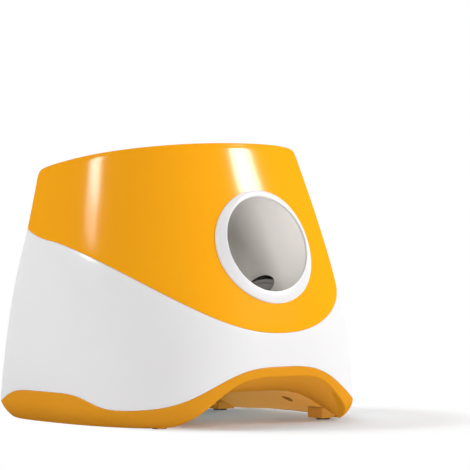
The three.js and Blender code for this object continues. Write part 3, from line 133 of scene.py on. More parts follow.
def plan(u, share, inset):
    """x and y of the rounded oval for a turn u from +X through the rear: a half width or reach, times the
    cosine or sine to a power that is below 1, with other reaches and powers in front than behind."""
    behind = np.sin(u) > 0
    reach = np.where(
        behind,
        REAR_REACH * along_levels(REAR_SHARES, share),
        FRONT_REACH * along_levels(FRONT_SHARES, share),
    )
    half = HALF_WIDTH * along_levels(WIDTH_SHARES, share)
    at_waist = np.where(behind, REAR_POWERS[0], FRONT_POWERS[0])
    at_rim = np.where(behind, REAR_POWERS[1], FRONT_POWERS[1])
    power = 2 / (at_waist + (at_rim - at_waist) * np.clip(share, 0, 1))
    c, s = np.cos(u), np.sin(u)
    x = (half - inset) * np.sign(c) * np.abs(c) ** power
    y = (reach - inset) * np.sign(s) * np.abs(s) ** power + CENTRE_Y
    return x, y


RIM_FRONT_Y = float(plan(np.array(-PI / 2), np.array(1.0), 0)[1])


def rim_level(u):
    """Height of the rim, which falls evenly towards the rear."""
    return BODY_HEIGHT - RIM_RISE - RIM_FALL * (plan(u, np.ones_like(u), 0)[1] - RIM_FRONT_Y)


def skin_share(u, z):
    """Share of the way from the waist to the rim at height z."""
    return (z - WAIST) / (rim_level(u) - WAIST)


def hem_curl(z):
    """How far the skin curls in below the waist, by the square of the depth."""
    return HEM_INSET * (np.maximum(WAIST - z, 0) / WAIST) ** 2


def skin(u, z, inset=0.0):
    """Points of the skin for the turn u and the height z, moved in by the inset and the curl."""
    u, z, inset = np.broadcast_arrays(np.asarray(u, float), np.asarray(z, float), np.asarray(inset, float))
    x, y = plan(u, skin_share(u, z), inset + SKIN_INSET + hem_curl(z))
    return np.stack([x, y, z], -1)


def skin_y(x, z, end):
    """y of the skin's FRONT or REAR for x and z: the turn u whose x is right is found in a few rounds,
    because the oval's power and width depend on u through the sloping rim."""
    x, z = np.broadcast_arrays(np.asarray(x, float), np.asarray(z, float))
    at_waist, at_rim = REAR_POWERS if end == REAR else FRONT_POWERS
    u = np.full(x.shape, end * PI / 2)
    for _ in range(TURN_ROUNDS):
        share = skin_share(u, z)
        half = HALF_WIDTH * along_levels(WIDTH_SHARES, share) - hem_curl(z) - SKIN_INSET
        power = at_waist + (at_rim - at_waist) * np.clip(share, 0, 1)
        u = end * np.arccos(np.minimum(np.abs(x) / half, 1) ** (power / 2))
    return skin(u, z)[..., 1]


def onto_skin(p, direction, end):
    """Points moved along the direction until they lie on the skin: in each round by the distance that is
    left in y, over the direction's y."""
    for _ in range(MOVE_ROUNDS):
        p = p + ((skin_y(p[:, 0], p[:, 2], end) - p[:, 1]) / direction[1])[:, None] * direction
    return p


def colour_height(u):
    """Height of the line between the orange and the white housing: high behind, with a bell-shaped dip."""
    degrees = np.degrees(np.arccos(np.clip(-np.sin(u), -1, 1)))
    return COLOUR_REAR - bell(degrees, COLOUR_REAR - COLOUR_FRONT, COLOUR_HALF, COLOUR_POWER)


def band_height(u):
    """Top of the orange base band: level, with an arch in front and low swells behind and at the sides."""
    x, y = plan(u, np.zeros_like(u), 0)
    hump = np.where(y < CENTRE_Y, bell(x, *BAND_ARCH), bell(x, *BAND_SWELL))
    return BAND_LOW + hump + bell(y - SWELL_Y, *BAND_SWELL)


def hem_height(u):
    """Lower edge of the base band: near the floor, with the arch in front."""
    x, y = plan(u, np.zeros_like(u), HEM_INSET / 2)
    return HEM_LOW + np.where(y < CENTRE_Y, bell(x, *HEM_ARCH), 0)


X_AXIS, Y_AXIS, Z_AXIS = np.eye(3)
MOUTH_Y = float(skin_y(0, MOUTH_Z - MOUTH_LIFT, FRONT)) + MOUTH_LIFT * math.sin(MOUTH_LEAN)
MOUTH = np.array([0, MOUTH_Y, MOUTH_Z])
BACK = np.array([0, math.cos(MOUTH_LEAN), -math.sin(MOUTH_LEAN)])
UPWARD = np.array([0, math.sin(MOUTH_LEAN), math.cos(MOUTH_LEAN)])
VALLEY = MOUTH + BACK * VALLEY_DEPTH


def mouth_distance(p):
    """Distance from the launch tube's axis; points outside the body's front part count as far off."""
    q = p - MOUTH
    front_part_y = -20
    return np.where(p[..., 1] < front_part_y, np.hypot(q[..., 0], q @ UPWARD), FAR_OFF)


def mesh_quads(columns, rows, wrap):
    """Quads between neighbouring columns of points; wrap joins the last column to the first."""
    index = np.arange(columns * rows).reshape(columns, rows)
    a, b = (index, np.roll(index, -1, 0)) if wrap else (index[:-1], index[1:])
    return np.stack([a[:, :-1], b[:, :-1], b[:, 1:], a[:, 1:]], -1).reshape(-1, 4)


def cut(point_at, u, v, steps, points, quads, keep):
    """A surface cut where keep(points) is zero: quads that are negative at all corners are dropped, and the
    negative corners that are left move in u and v, down the slope of keep, onto the line."""
    value = keep(points)
    quads = quads[value[quads].max(1) > 0]
    edge = np.unique(quads)
    edge = edge[value[edge] < 0]
    u, v = u[edge], v[edge]
    # How far keep is probed to each side, and the furthest move in one round, as shares of a step
    probe, furthest = 0.1, 0.7
    probe_u, probe_v = probe * steps[0], probe * steps[1]
    for _ in range(CUT_ROUNDS):
        here = keep(point_at(u, v))
        by_u = (keep(point_at(u + probe_u, v)) - keep(point_at(u - probe_u, v))) / (2 * probe)
        by_v = (keep(point_at(u, v + probe_v)) - keep(point_at(u, v - probe_v))) / (2 * probe)
        square = by_u**2 + by_v**2 + 1e-12
        u = u + np.clip(-here * by_u / square, -furthest, furthest) * steps[0]
        v = v + np.clip(-here * by_v / square, -furthest, furthest) * steps[1]
    points[edge] = point_at(u, v)
    return points, quads


def grid(point_at, us, vs, wrap_u=False, keep=None, flip=False):
    """The surface point_at(u, v) over evenly spaced us and vs; with keep, cut where that is zero."""
    u, v = (a.astype(float) for a in np.meshgrid(us, vs, indexing="ij"))
    points = point_at(u, v).reshape(-1, 3)
    quads = mesh_quads(len(us), len(vs), wrap_u)
    if flip:
        quads = quads[:, ::-1]
    if keep is None:
        return points, quads
    return cut(point_at, u.ravel(), v.ravel(), (us[1] - us[0], vs[1] - vs[0]), points, quads, keep)


ROUND = 480


def loft(rows_at, keep=None):
    """The surface round the body: rows_at(u) gives one cross-section of points for each turn u."""
    us = np.linspace(0, TAU, ROUND, endpoint=False)
    section = rows_at(us)
    rows = section.shape[1]
    if keep is None:
        return section.reshape(-1, 3), mesh_quads(ROUND, rows, True)

    def point_at(u, v):
        """The point at row v of the section at u; between two rows it lies on the straight line."""
        flat_u, flat_v = np.ravel(u), np.clip(np.ravel(v), 0, rows - 1)
        whole = rows_at(flat_u)
        low = np.minimum(np.floor(flat_v).astype(int), rows - 2)
        w = (flat_v - low)[:, None]
        n = np.arange(len(flat_u))
        return (whole[n, low] * (1 - w) + whole[n, low + 1] * w).reshape(*np.shape(u), 3)

    return grid(point_at, us, np.arange(rows), True, keep)


def skin_rows(entries):
    """Cross-sections of the skin from (inset, height) pairs, each a number or an array over u."""

    def rows_at(u):
        """One row of points for each pair, at every turn u."""
        insets, heights = zip(*entries(u))
        inset = np.stack([np.broadcast_to(a, u.shape) for a in insets], 1)
        height = np.stack([np.broadcast_to(a, u.shape) for a in heights], 1)
        return skin(u[:, None], height, inset)

    return rows_at


def carried(p, to):
    """Points carried by a frame given as origin, x axis, y axis and z axis."""
    origin, x, y, z = to
    return origin + p[:, :1] * x + p[:, 1:2] * y + p[:, 2:3] * z


def lathe(profile, steps, to):
    """A surface turned about a frame's z axis from (radius, height) pairs."""
    r, z = np.asarray(profile, float).T
    turn = np.linspace(0, TAU, steps, endpoint=False)[:, None]
    p = np.stack([np.cos(turn) * r, np.sin(turn) * r, np.broadcast_to(z, (steps, len(z)))], -1)
    return carried(p.reshape(-1, 3), to), mesh_quads(steps, len(z), True)


def rounded(profile, radius, steps=4):
    """A profile whose sharp corners are replaced by parabolas that touch both sides, cut back as far as an
    arc of the radius would be, but never by half a side."""
    blunt_angle, most_of_side = 0.3, 0.45
    points = [np.asarray(q, float) for q in profile]
    share = np.linspace(0, 1, steps + 1)[:, None]
    out = [points[0]]
    for a, b, c in zip(points[:-2], points[1:-1], points[2:]):
        side_in, side_out = np.linalg.norm(b - a), np.linalg.norm(c - b)
        before, after = (b - a) / side_in, (c - b) / side_out
        angle = math.acos(np.clip(before @ after, -1, 1))
        if angle < blunt_angle:
            out.append(b)
            continue
        back = min(radius * math.tan(angle / 2), most_of_side * side_in, most_of_side * side_out)
        p, q = b - before * back, b + after * back
        out.extend((1 - share) ** 2 * p + 2 * share * (1 - share) * b + share**2 * q)
    return np.array([*out, points[-1]])


def rounded_rect(size, grow=0.0, steps=8):
    """Outline of a rectangle with round corners, anticlockwise; size is width, height and corner radius."""
    corner = size[2] + grow
    x, y = size[0] / 2 + grow - corner, size[1] / 2 + grow - corner
    centre_x, centre_y = np.array([[x, x, -x, -x], [-y, y, y, -y]])[:, :, None]
    turn = np.radians([-90, 0, 90, 180])[:, None] + np.linspace(0, PI / 2, steps + 1)
    return np.stack([centre_x + corner * np.cos(turn), centre_y + corner * np.sin(turn)], -1).reshape(-1, 2)


def rect_distance(x, y, size, grow=0.0):
    """Signed distance to a rectangle with round corners, negative inside."""
    corner = size[2] + grow
    qx = np.abs(x) - size[0] / 2 - grow + corner
    qy = np.abs(y) - size[1] / 2 - grow + corner
    return np.hypot(np.maximum(qx, 0), np.maximum(qy, 0)) + np.minimum(np.maximum(qx, qy), 0) - corner


def circle(centre, radius, steps=96):
    """Outline of a circle."""
    t = np.linspace(0, TAU, steps, endpoint=False)
    return np.stack([centre[0] + radius * np.cos(t), centre[1] + radius * np.sin(t)], 1)


def stack(outlines, closed_ends=(False, False)):
    """A surface through outlines of equal length that close on themselves. Its quads join each outline to the
    next, and a closed end is filled by a fan from its middle."""
    n = len(outlines[0])
    p = np.concatenate(outlines)
    index = np.arange(len(p)).reshape(len(outlines), n)
    a, b = index[:-1], index[1:]
    quads = [np.stack([a, np.roll(a, -1, 1), np.roll(b, -1, 1), b], -1).reshape(-1, 4)]
    for end, closed in zip((0, -1), closed_ends):
        if closed:
            centre = np.full(n, len(p))
            p = np.concatenate([p, outlines[end].mean(0)[None]])
            ring = index[end]
            following = np.roll(ring, -1)
            corners = [centre, following, ring, ring] if end == 0 else [centre, ring, following, following]
            quads.append(np.stack(corners, -1))
    return p, np.concatenate(quads)


def between(a, b, share):
    """The value a share of the way from a to b."""
    return a + (b - a) * share


class Signal:
    """A shader value with arithmetic: each operation adds a Math node, with plain numbers on its sockets."""

    def __init__(self, nodes, socket):
        self.nodes, self.socket = nodes, socket

    def math(self, operation, other):
        """The operation on this value and another signal or number."""
        return self.nodes.signal("Math", {"operation": operation}, {0: self, 1: other})

    def __add__(self, other):
        return self.math("ADD", other)

    def __mul__(self, other):
        return self.math("MULTIPLY", other)

    __radd__, __rmul__ = __add__, __mul__

    def step(self, low, high):
        """0 below low, 1 above high, smooth between them."""
        sockets = {"Value": self, "From Min": low, "From Max": high}
        return self.nodes.signal("MapRange", {"interpolation_type": "SMOOTHSTEP"}, sockets, "Result")


class Nodes:
    """The emptied node tree of a material or a world, with one way to add a node."""

    def __init__(self, owner):
        owner.use_nodes = True
        self.tree = owner.node_tree
        self.tree.nodes.clear()

    def feed(self, socket, value):
        """Links a signal or another node's socket to the socket, or sets a plain value on it."""
        if isinstance(value, Signal):
            value = value.socket
        if isinstance(value, bpy.types.NodeSocket):
            self.tree.links.new(value, socket)
        else:
            socket.default_value = value

    def add(self, kind, settings=None, sockets=None):
        """A node by its type, its settings, which are set first, and the values or links of its sockets."""
        node = self.tree.nodes.new("ShaderNode" + kind)
        for name, value in (settings or {}).items():
            setattr(node, name, value)
        for name, value in (sockets or {}).items():
            self.feed(node.inputs[name], value)
        return node

    def signal(self, kind, settings=None, sockets=None, output=0):
        """A new node's output as a signal."""
        return Signal(self, self.add(kind, settings, sockets).outputs[output])

    def mixed(self, share, first, second):
        """A shader that goes from the first node's to the second's by the share."""
        return self.add("MixShader", None, {"Fac": share, 1: first.outputs[0], 2: second.outputs[0]})

    def plain_rays(self):
        """1 for camera, glossy and transmission rays, which see a plain white background."""
        path = self.add("LightPath")
        camera_ray, glossy_ray, clear_ray = [
            Signal(self, path.outputs[f"Is {kind} Ray"]) for kind in ("Camera", "Glossy", "Transmission")
        ]
        return camera_ray.math("MAXIMUM", glossy_ray).math("MAXIMUM", clear_ray)


def linear(code):
    """Linear colour from an sRGB code."""
    values = [int(code[i : i + 2], 16) / 255 for i in (1, 3, 5)]
    return [v / 12.92 if v <= 0.04045 else ((v + 0.055) / 1.055) ** 2.4 for v in values] + [1.0]


class Finish(Nodes):
    """A material with a Principled shader, and noises in Object coordinates as signals."""

    def __init__(self, name):
        self.material = bpy.data.materials.new(name)
        super().__init__(self.material)
        self.place = self.add("TexCoord").outputs["Object"]
        self.shader = self.add("BsdfPrincipled")
        output = self.add("OutputMaterial", None, {"Surface": self.shader.outputs[0]})
        self.surface = output.inputs["Surface"]

    def noise(self, per_metre, detail=2.0, stretch=None):
        """Noise with per_metre grains to the metre, drawn out along an axis whose stretch is below 1."""
        where = self.place
        if stretch:
            where = self.add("VectorMath", {"operation": "MULTIPLY"}, {0: where, 1: stretch}).outputs[0]
        sockets = {"Scale": per_metre, "Detail": detail, "Vector": where}
        return self.signal("TexNoise", None, sockets, "Fac")

    def set(self, socket, value):
        """A value or signal on the Principled shader."""
        self.feed(self.shader.inputs[socket], value)

    def colour(self, code, deeper_code, share):
        """Base colour that goes from one code to the other by the share."""
        sockets = {"Factor": share, 6: linear(code), 7: linear(deeper_code)}
        self.set("Base Color", self.add("Mix", {"data_type": "RGBA"}, sockets).outputs[2])

    def bump(self, height, depth_mm):
        """Bumps of the given depth on the shader; their normal is returned for a second shader."""
        normal = self.add("Bump", None, {"Distance": depth_mm * MM, "Height": height}).outputs[0]
        self.set("Normal", normal)
        return normal


def plastic(name, code, deeper_code, rough, rough_spread, grains_per_metre, grain_mm, specular, gloss=0.0):
    """Moulded plastic: an even colour that drifts a little over the piece, patches that are more or less
    polished, and a fine skin. Gloss adds a thin even reflection that doesn't whiten towards the outline."""
    f = Finish(name)
    drifts_per_metre, patches_per_metre = 9.0, 38.0
    f.colour(code, deeper_code, f.noise(drifts_per_metre, 3.0).step(0.35, 0.68))
    roughness = f.noise(patches_per_metre) * rough_spread + (rough - rough_spread / 2)
    f.set("Roughness", roughness)
    normal = f.bump(f.noise(grains_per_metre), grain_mm)
    f.set("Specular IOR Level", specular)
    if gloss:
        mirror = f.add("BsdfGlossy", None, {"Roughness": roughness, "Normal": normal})
        f.feed(f.surface, f.mixed(gloss, f.shader, mirror).outputs[0])
    return f.material


def metal(name, code, deeper_code, rough, stretch, mark_mm):
    """Plain metal: drawing marks, drawn out by the stretch, in its roughness and bump, and darker spots."""
    f = Finish(name)
    marks_per_metre, mark_spread = 1400.0, 0.16
    marks = f.noise(marks_per_metre, 3.0, stretch)
    f.colour(code, deeper_code, f.noise(70.0).step(0.4, 0.7))
    f.set("Roughness", marks * mark_spread + (rough - mark_spread / 2))
    f.bump(marks, mark_mm)
    f.set("Metallic", 1.0)
    return f.material


def clear_plastic(name, code, deeper_code):
    """Half clear plastic with a slightly uneven polish."""
    f = Finish(name)
    f.colour(code, deeper_code, f.noise(60.0).step(0.4, 0.7))
    f.set("Roughness", f.noise(300.0) * 0.08 + 0.12)
    f.bump(f.noise(900.0), 0.004)
    f.set("Transmission Weight", 0.5)
    return f.material


# Colour, deeper colour, roughness, its spread, grains per metre, their depth in mm, specular level, gloss
PLASTICS = {
    "orange_gloss": ("#f9a807", "#f7a506", 0.16, 0.04, 420.0, 0.006, 0.0, 0.012),
    "orange_base": ("#e69a1c", "#e3961a", 0.24, 0.06, 420.0, 0.008, 0.0, 0.012),
    # The cove's look is the base's plastic, darker and greyer: painted shade and a painted reflection of the
    # floor under the arch
    "orange_cove_painted_shade": ("#e0962c", "#dd932b", 0.26, 0.05, 420.0, 0.006, 0.0, 0.02),
    "orange_matte": ("#d9963c", "#d59238", 0.45, 0.08, 1500.0, 0.02, 0.1),
    "white_gloss": ("#efeeef", "#ecebec", 0.24, 0.05, 420.0, 0.006, 0.0, 0.02),
    "white_bowl": ("#efeeee", "#ecebeb", 0.26, 0.06, 420.0, 0.006, 0.1, 0.015),
    "white_collar": ("#ecebec", "#e9e8e9", 0.27, 0.05, 420.0, 0.005, 0.0, 0.015),
    "white_inner": ("#dcd8d4", "#d8d4d0", 0.42, 0.08, 1300.0, 0.012, 0.1),
    "panel_grey": ("#dddbd8", "#d7d4d1", 0.38, 0.08, 1600.0, 0.02, 0.3),
    "button_orange": ("#f5a30a", "#f29f08", 0.3, 0.06, 900.0, 0.008, 0.3),
    "button_white": ("#f0efef", "#edebeb", 0.3, 0.06, 900.0, 0.008, 0.3),
    "charcoal": ("#2c2c2e", "#252527", 0.5, 0.1, 1500.0, 0.02, 0.3),
    "rubber_black": ("#2a2a2a", "#232323", 0.78, 0.1, 1800.0, 0.03, 0.3),
    "rubber_grey": ("#9a9896", "#8f8d8b", 0.66, 0.1, 1500.0, 0.03, 0.3),
    "board_green": ("#1f6b3c", "#1a5f35", 0.42, 0.1, 700.0, 0.01, 0.4),
}
# Colour, deeper colour, roughness, stretch of the drawing marks along x, y and z, their depth in mm
METALS = {
    "motor_steel": ("#b4b6ba", "#a6a8ac", 0.34, (1.0, 1.0, 0.12), 0.006),
    "steel": ("#c2c3c6", "#b2b3b6", 0.3, (1.0, 1.0, 0.2), 0.004),
    "brass": ("#cfa855", "#bf9848", 0.34, (1.0, 0.2, 1.0), 0.005),
}
LOOKS = {name: plastic(name, *values) for name, values in PLASTICS.items()}
LOOKS.update({name: metal(name, *values) for name, values in METALS.items()})
LOOKS["clear_lens"] = clear_plastic("clear_lens", "#dff0e6", "#c6e0d2")


def piece(name, surfaces, slot, body="launcher", replaces=(), sharp=40, look=None):
    """One mesh object made of several surfaces, riding on a CAD body. Its finish is the slot's, or the look
    where that is given, and edges that turn by more than sharp degrees stay crisp."""
    starts = np.cumsum([0] + [len(p) for p, _ in surfaces[:-1]])
    points = np.concatenate([p for p, _ in surfaces]) * MM
    faces = np.concatenate([q + start for (_, q), start in zip(surfaces, starts)])
    # A face whose last two corners are the same is a triangle
    is_triangle = faces[:, 2] == faces[:, 3]
    quads, triangles = faces[~is_triangle], faces[is_triangle][:, :3]
    corners = np.concatenate([quads.ravel(), triangles.ravel()])
    first_corners = np.concatenate([
        np.arange(len(quads)) * 4,
        len(quads) * 4 + np.arange(len(triangles)) * 3,
    ])
    mesh = bpy.data.meshes.new(name)
    mesh.vertices.add(len(points))
    mesh.vertices.foreach_set("co", points.astype(np.float32).ravel())
    mesh.loops.add(len(corners))
    mesh.loops.foreach_set("vertex_index", corners.astype(np.int32))
    mesh.polygons.add(len(first_corners))
    mesh.polygons.foreach_set("loop_start", first_corners.astype(np.int32))
    mesh.update(calc_edges=True)
    mesh.validate()
    mesh.shade_smooth()
    mesh.set_sharp_from_angle(angle=math.radians(sharp))
    mesh.materials.append(LOOKS[look or slot])
    obj = bpy.data.objects.new(name, mesh)
    scene.collection.objects.link(obj)
    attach(obj, body)
    if replaces:
        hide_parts(*replaces)
    return obj


# Body shells. The gap that shows at a seam, the rounding of its edges, and where the seam's face ends
LOOK_SEAM, FILLET, SEAM_FACE = 0.14, 0.45, 1.2
FILLET_TURNS = np.radians([0, 30, 60, 90])
# The tongue that stands up inside the next shell: insets of its two faces and of its foot, and its rise
TONGUE_OUT, TONGUE_IN, TONGUE_FOOT, TONGUE_RISE = 3.3, 4.9, 1.6, 4.0
WALL_ROWS, BAND_ROWS = 30, 14


def fillet(z, upward):
    """Rows round a quarter circle from the outer face to a level edge at z: upper with 1, lower with -1."""
    return [(FILLET * (1 - math.cos(t)), z - upward * FILLET * (1 - math.sin(t))) for t in FILLET_TURNS]


def rows_between(inset, low, high, count):
    """Evenly spaced rows between two heights at one inset, without the two ends."""
    return [(inset, between(low, high, k / count)) for k in range(1, count)]


def upper_rows(u):
    """The orange housing's section: the seam's face, the outer skin, a lip whose crown is half an oval, the
    ledge that the bowl rests on, and the inner wall back down to the seam."""
    low, rim = colour_height(u) + LOOK_SEAM / 2, rim_level(u)
    lip_width, lip_foot, top_margin = 4.2, 2.9, 0.03
    ledge, ledge_out, ledge_foot, wall_top = 6, 7.0, 8, 11
    crown = RIM_RISE + lip_foot - top_margin
    lip = [
        (lip_width / 2 * (1 - math.cos(t)), rim - lip_foot + crown * math.sin(t) ** 0.9)
        for t in np.linspace(0, PI, 19)
    ]
    lip_inside = [(lip_width, rim - ledge / 2), (lip_width, rim - ledge)]
    return (
        [(WALL, low), (SEAM_FACE, low)]
        + fillet(low, -1)[::-1]
        + rows_between(0, low + FILLET, rim - lip_foot, WALL_ROWS)
        + lip
        + lip_inside
        + [(ledge_out, rim - ledge), (ledge_out, rim - ledge_foot), (WALL, rim - wall_top)]
        + rows_between(WALL, rim - wall_top, low, WALL_ROWS)
        + [(WALL, low)]
    )


def middle_rows(u):
    """The white housing's section: outer skin, seam and tongue at the top, and the inner wall back down."""
    low, high = band_height(u) + LOOK_SEAM / 2, colour_height(u) - LOOK_SEAM / 2
    tongue_root, wall_top = high - 6, high - 8
    tongue = [(TONGUE_OUT, high), (TONGUE_OUT, high + TONGUE_RISE), (TONGUE_IN, high + TONGUE_RISE)]
    return (
        [(WALL, low), (SEAM_FACE, low)]
        + fillet(low, -1)[::-1]
        + rows_between(0, low + FILLET, high - FILLET, WALL_ROWS)
        + fillet(high, 1)
        + [(TONGUE_FOOT, high)]
        + tongue
        + [(TONGUE_IN, tongue_root), (WALL, wall_top)]
        + rows_between(WALL, wall_top, low, WALL_ROWS)
        + [(WALL, low)]
    )


def base_rows(u):
    """The orange band's section: a rounded hem, the outer skin, the seam, the tongue and the inner wall."""
    low, high = hem_height(u), band_height(u) - LOOK_SEAM / 2
    tongue_level, hem_round, hem_width, foot_step = 32.5, 1.1, 2.4, 0.2
    top = np.maximum(high + TONGUE_RISE, tongue_level)
    hem = [
        (hem_round * (1 - math.cos(t)), low + hem_round * (1 - math.sin(t)))
        for t in np.linspace(PI / 2, 0, 6)
    ]
    foot = (TONGUE_IN, low + foot_step)
    return (
        [foot, (hem_width, low)]
        + hem
        + rows_between(0, low + hem_round, high - FILLET, BAND_ROWS)
        + fillet(high, 1)
        + [(TONGUE_FOOT, high), (TONGUE_OUT, high), (TONGUE_OUT, top), (TONGUE_IN, top)]
        + [(TONGUE_IN, between(low, top, 0.5)), foot]
    )


# Radius of the hole in the orange housing, which the collar covers
COLLAR_HOLE = 41.0
upper = loft(skin_rows(upper_rows), lambda p: mouth_distance(p) - COLLAR_HOLE)
upper_skin = piece("shell_upper", [upper], "orange_gloss", replaces=["upper_housing"])

# The control panel's frame on the rear skin: z points out, y up, and x to the left as seen from the front
PANEL_LEAN, PANEL_LEVEL = math.radians(11), 105.0
PANEL_Z = np.array([0, math.cos(PANEL_LEAN), math.sin(PANEL_LEAN)])
PANEL_X = -X_AXIS
PANEL_Y = np.cross(PANEL_Z, PANEL_X)
PANEL_O = np.array([0, float(skin_y(0, PANEL_LEVEL, REAR)) + SKIN_INSET, PANEL_LEVEL])
PANEL_FRAME = (PANEL_O, PANEL_X, PANEL_Y, PANEL_Z)
# Width, height and corner radius of the panel's plate, of its pocket and of the opening behind it
PLATE, POCKET, OPENING = (84.0, 44.0, 6.0), (84.6, 44.6, 6.3), (76.0, 36.0, 2.0)
# How far the pocket's edge is rounded outwards, and the depths of its ledge and of the opening's far side
POCKET_EDGE, LEDGE_DEPTH, OPENING_DEPTH = 0.5, 5.1, 9.8
# The power inlet's middle on the skin, and the radius of its hole, at its wall and at its rounded edge
JACK_X, JACK_LEVEL = 40.0, 60.0
JACK = np.array([JACK_X, float(skin_y(JACK_X, JACK_LEVEL, REAR)) + SKIN_INSET, JACK_LEVEL])
JACK_R, JACK_EDGE_R = 5.5, 5.9


def middle_keep(p):
    """Distance outside the panel's pocket and the inlet's hole, seen along their own directions."""
    q = p - PANEL_O
    pocket_gap = rect_distance(q @ PANEL_X, q @ PANEL_Y, POCKET) - POCKET_EDGE
    jack_gap = np.hypot(p[..., 0] - JACK[0], p[..., 2] - JACK[2]) - JACK_EDGE_R
    return np.where(p[..., 1] > 0, np.minimum(pocket_gap, jack_gap), FAR_OFF)


def rear_ring(outline, to, sink):
    """An outline given in a frame, laid on the rear skin along the frame's z and sunk below it."""
    p = carried(np.hstack([outline, np.zeros((len(outline), 1))]), to)
    return onto_skin(p, to[3], REAR) - sink * to[3]


def panel_ring(outline, height):
    """An outline at one height in the panel's frame."""
    return carried(np.hstack([outline, np.full((len(outline), 1), height)]), PANEL_FRAME)


def pocket():
    """Rounded edge and walls of the panel's pocket, the ledge that the panel rests on, and the opening."""
    edge = ((POCKET_EDGE, 0.0), (0.22, 0.06), (0.06, 0.24), (0.0, 0.6))
    rings = [rear_ring(rounded_rect(POCKET, grow, 10), PANEL_FRAME, sink) for grow, sink in edge]
    rings.append(panel_ring(rounded_rect(POCKET, 0, 10), -LEDGE_DEPTH))
    opening = rounded_rect(OPENING, 0, 10)
    return stack([*rings, panel_ring(opening, -LEDGE_DEPTH), panel_ring(opening, -OPENING_DEPTH)])


def jack_hole():
    """Rounded edge and wall of the hole for the power inlet."""
    to = (JACK, X_AXIS, Z_AXIS, Y_AXIS)
    edge = ((JACK_EDGE_R, 0.0), (5.62, 0.1), (JACK_R, 0.4), (JACK_R, 3.0))
    return stack([rear_ring(circle((0, 0), radius, 48), to, sink) for radius, sink in edge])


middle = loft(skin_rows(middle_rows), middle_keep)
piece("shell_middle", [middle, pocket(), jack_hole()], "white_gloss", replaces=["middle_housing"])

# The base, with its deck and the cove under the front arch
TUNNEL_FRONT, COVE_SAG = -86.0, 1.5


def cove():
    """The surface under the arch: straight lines from the hem back to the tunnel's front edge, lowered by
    half a sine wave."""
    turns, rows, hem_in = 121, 13, 0.75
    u = np.radians(np.linspace(-135, -45, turns))
    share = np.linspace(0, 1, rows)
    hem = skin(u, hem_height(u), hem_in)
    x = hem[:, :1]
    y = between(hem[:, 1:2], TUNNEL_FRONT, share)
    z = between(hem[:, 2:3], bell(x, *TUNNEL_ARCH), share) - COVE_SAG * np.sin(PI * share)
    points = np.stack([np.broadcast_to(x, y.shape), y, z], -1).reshape(-1, 3)
    return points, mesh_quads(turns, rows, False)[:, [0, 3, 2, 1]]


def deck():
    """The flat deck inside the base, which closes it below the wheels: the inner wall's outline, cut short
    in front and behind."""
    level, thickness, wall_in = 30.0, 2.5, 4.2
    front_end, rear_end = -101.0, 72.0
    outline = skin(np.linspace(0, TAU, 180, endpoint=False), level, wall_in)
    outline[:, 1] = np.clip(outline[:, 1], front_end, rear_end)
    return stack([outline, outline + thickness * Z_AXIS], (True, True))


base_skin = piece("shell_base", [loft(skin_rows(base_rows))], "orange_base", replaces=["base_housing"])
piece("base_deck", [deck()], "orange_base", sharp=32)
# The cove shares the base's slot; its look paints shade and a reflection of the floor into the base's orange
cove_skin = piece("cove_surface", [cove()], "orange_base", sharp=32, look="orange_cove_painted_shade")

# The bowl, which narrows to a throat of the tube's width
THROAT_TOP, THROAT_FOOT, THROAT_Y, BOWL_WALL = 158.0, 151.4, 13.0, 2.8
# The bowl's lip and upper wall, as inset from the skin and height above the rim
BOWL_LIP = (
    (4.6, -5.7), (4.6, -0.2), (4.72, 0.3), (5.1, 0.58), (5.7, 0.6), (6.5, 0.42),
    (7.6, -0.4), (8.7, -1.7), (9.7, -3.3), (10.9, -5.6), (12.2, -8.0), (13.2, -9.7),
)


def throat_ring(u, radius, z):
    """A level circle round the throat's axis."""
    return np.stack([radius * np.cos(u), THROAT_Y + radius * np.sin(u), np.full_like(u, z)], -1)


def bowl_rows(u):
    """The bowl's section: lip and upper wall follow the skin, then a slope runs from the shoulder to the
    throat, steep at first, by a power of the share that is left. The underside is the slope moved down."""
    rim, slope_rows = rim_level(u), 26
    shoulder_drop, shoulder_in = 11, 14
    shoulder = skin(u, rim - shoulder_drop, shoulder_in)
    throat = throat_ring(u, TUBE_R, THROAT_TOP)
    slope = []
    for share in np.linspace(0, 1, slope_rows) ** 0.9:
        row = between(shoulder, throat, share)
        row[:, 2] = THROAT_TOP + (shoulder[:, 2] - THROAT_TOP) * (1 - share) ** 1.5
        slope.append(row)
    top = [skin(u, rim + above, inset) for inset, above in BOWL_LIP]
    rows = np.stack(top + slope, 1)
    # The bend between the upper wall and the slope is rounded by averaging neighbouring rows
    first, last = len(top) - 3, len(top) + 5
    for _ in range(6):
        outer_rows, inner_rows = rows[:, first - 1 : last - 1], rows[:, first + 1 : last + 1]
        rows[:, first:last] = (outer_rows + 2 * rows[:, first:last] + inner_rows) / 4
    bevel = 0.3
    throat_edge = [
        throat_ring(u, TUBE_R, THROAT_TOP - 1.5),
        throat_ring(u, TUBE_R, THROAT_FOOT + bevel),
        throat_ring(u, TUBE_R + bevel, THROAT_FOOT),
        throat_ring(u, TUBE_OUT, THROAT_FOOT),
        throat_ring(u, TUBE_OUT, THROAT_TOP - BOWL_WALL),
    ]
    under = [rows[:, k] - BOWL_WALL * Z_AXIS for k in range(len(top) + slope_rows - 2, len(top) + 2, -3)]
    under.append(skin(u, rim - shoulder_drop - 1.5 * BOWL_WALL, shoulder_in))
    flange = rim + BOWL_LIP[0][1]
    under += [skin(u, flange, BOWL_LIP[0][0] + BOWL_WALL), skin(u, flange, BOWL_LIP[0][0])]
    return np.concatenate([rows, np.stack(throat_edge + under, 1)], 1)


piece("bowl_surface", [loft(bowl_rows)], "white_bowl", replaces=["hopper_bowl"], sharp=50)

# The collar round the mouth: its width, and its inner flange's width, start and end
COLLAR_WIDTH, COLLAR_FLANGE, FLANGE_START, FLANGE_END = 7.2, 2.6, 2.0, 8.7


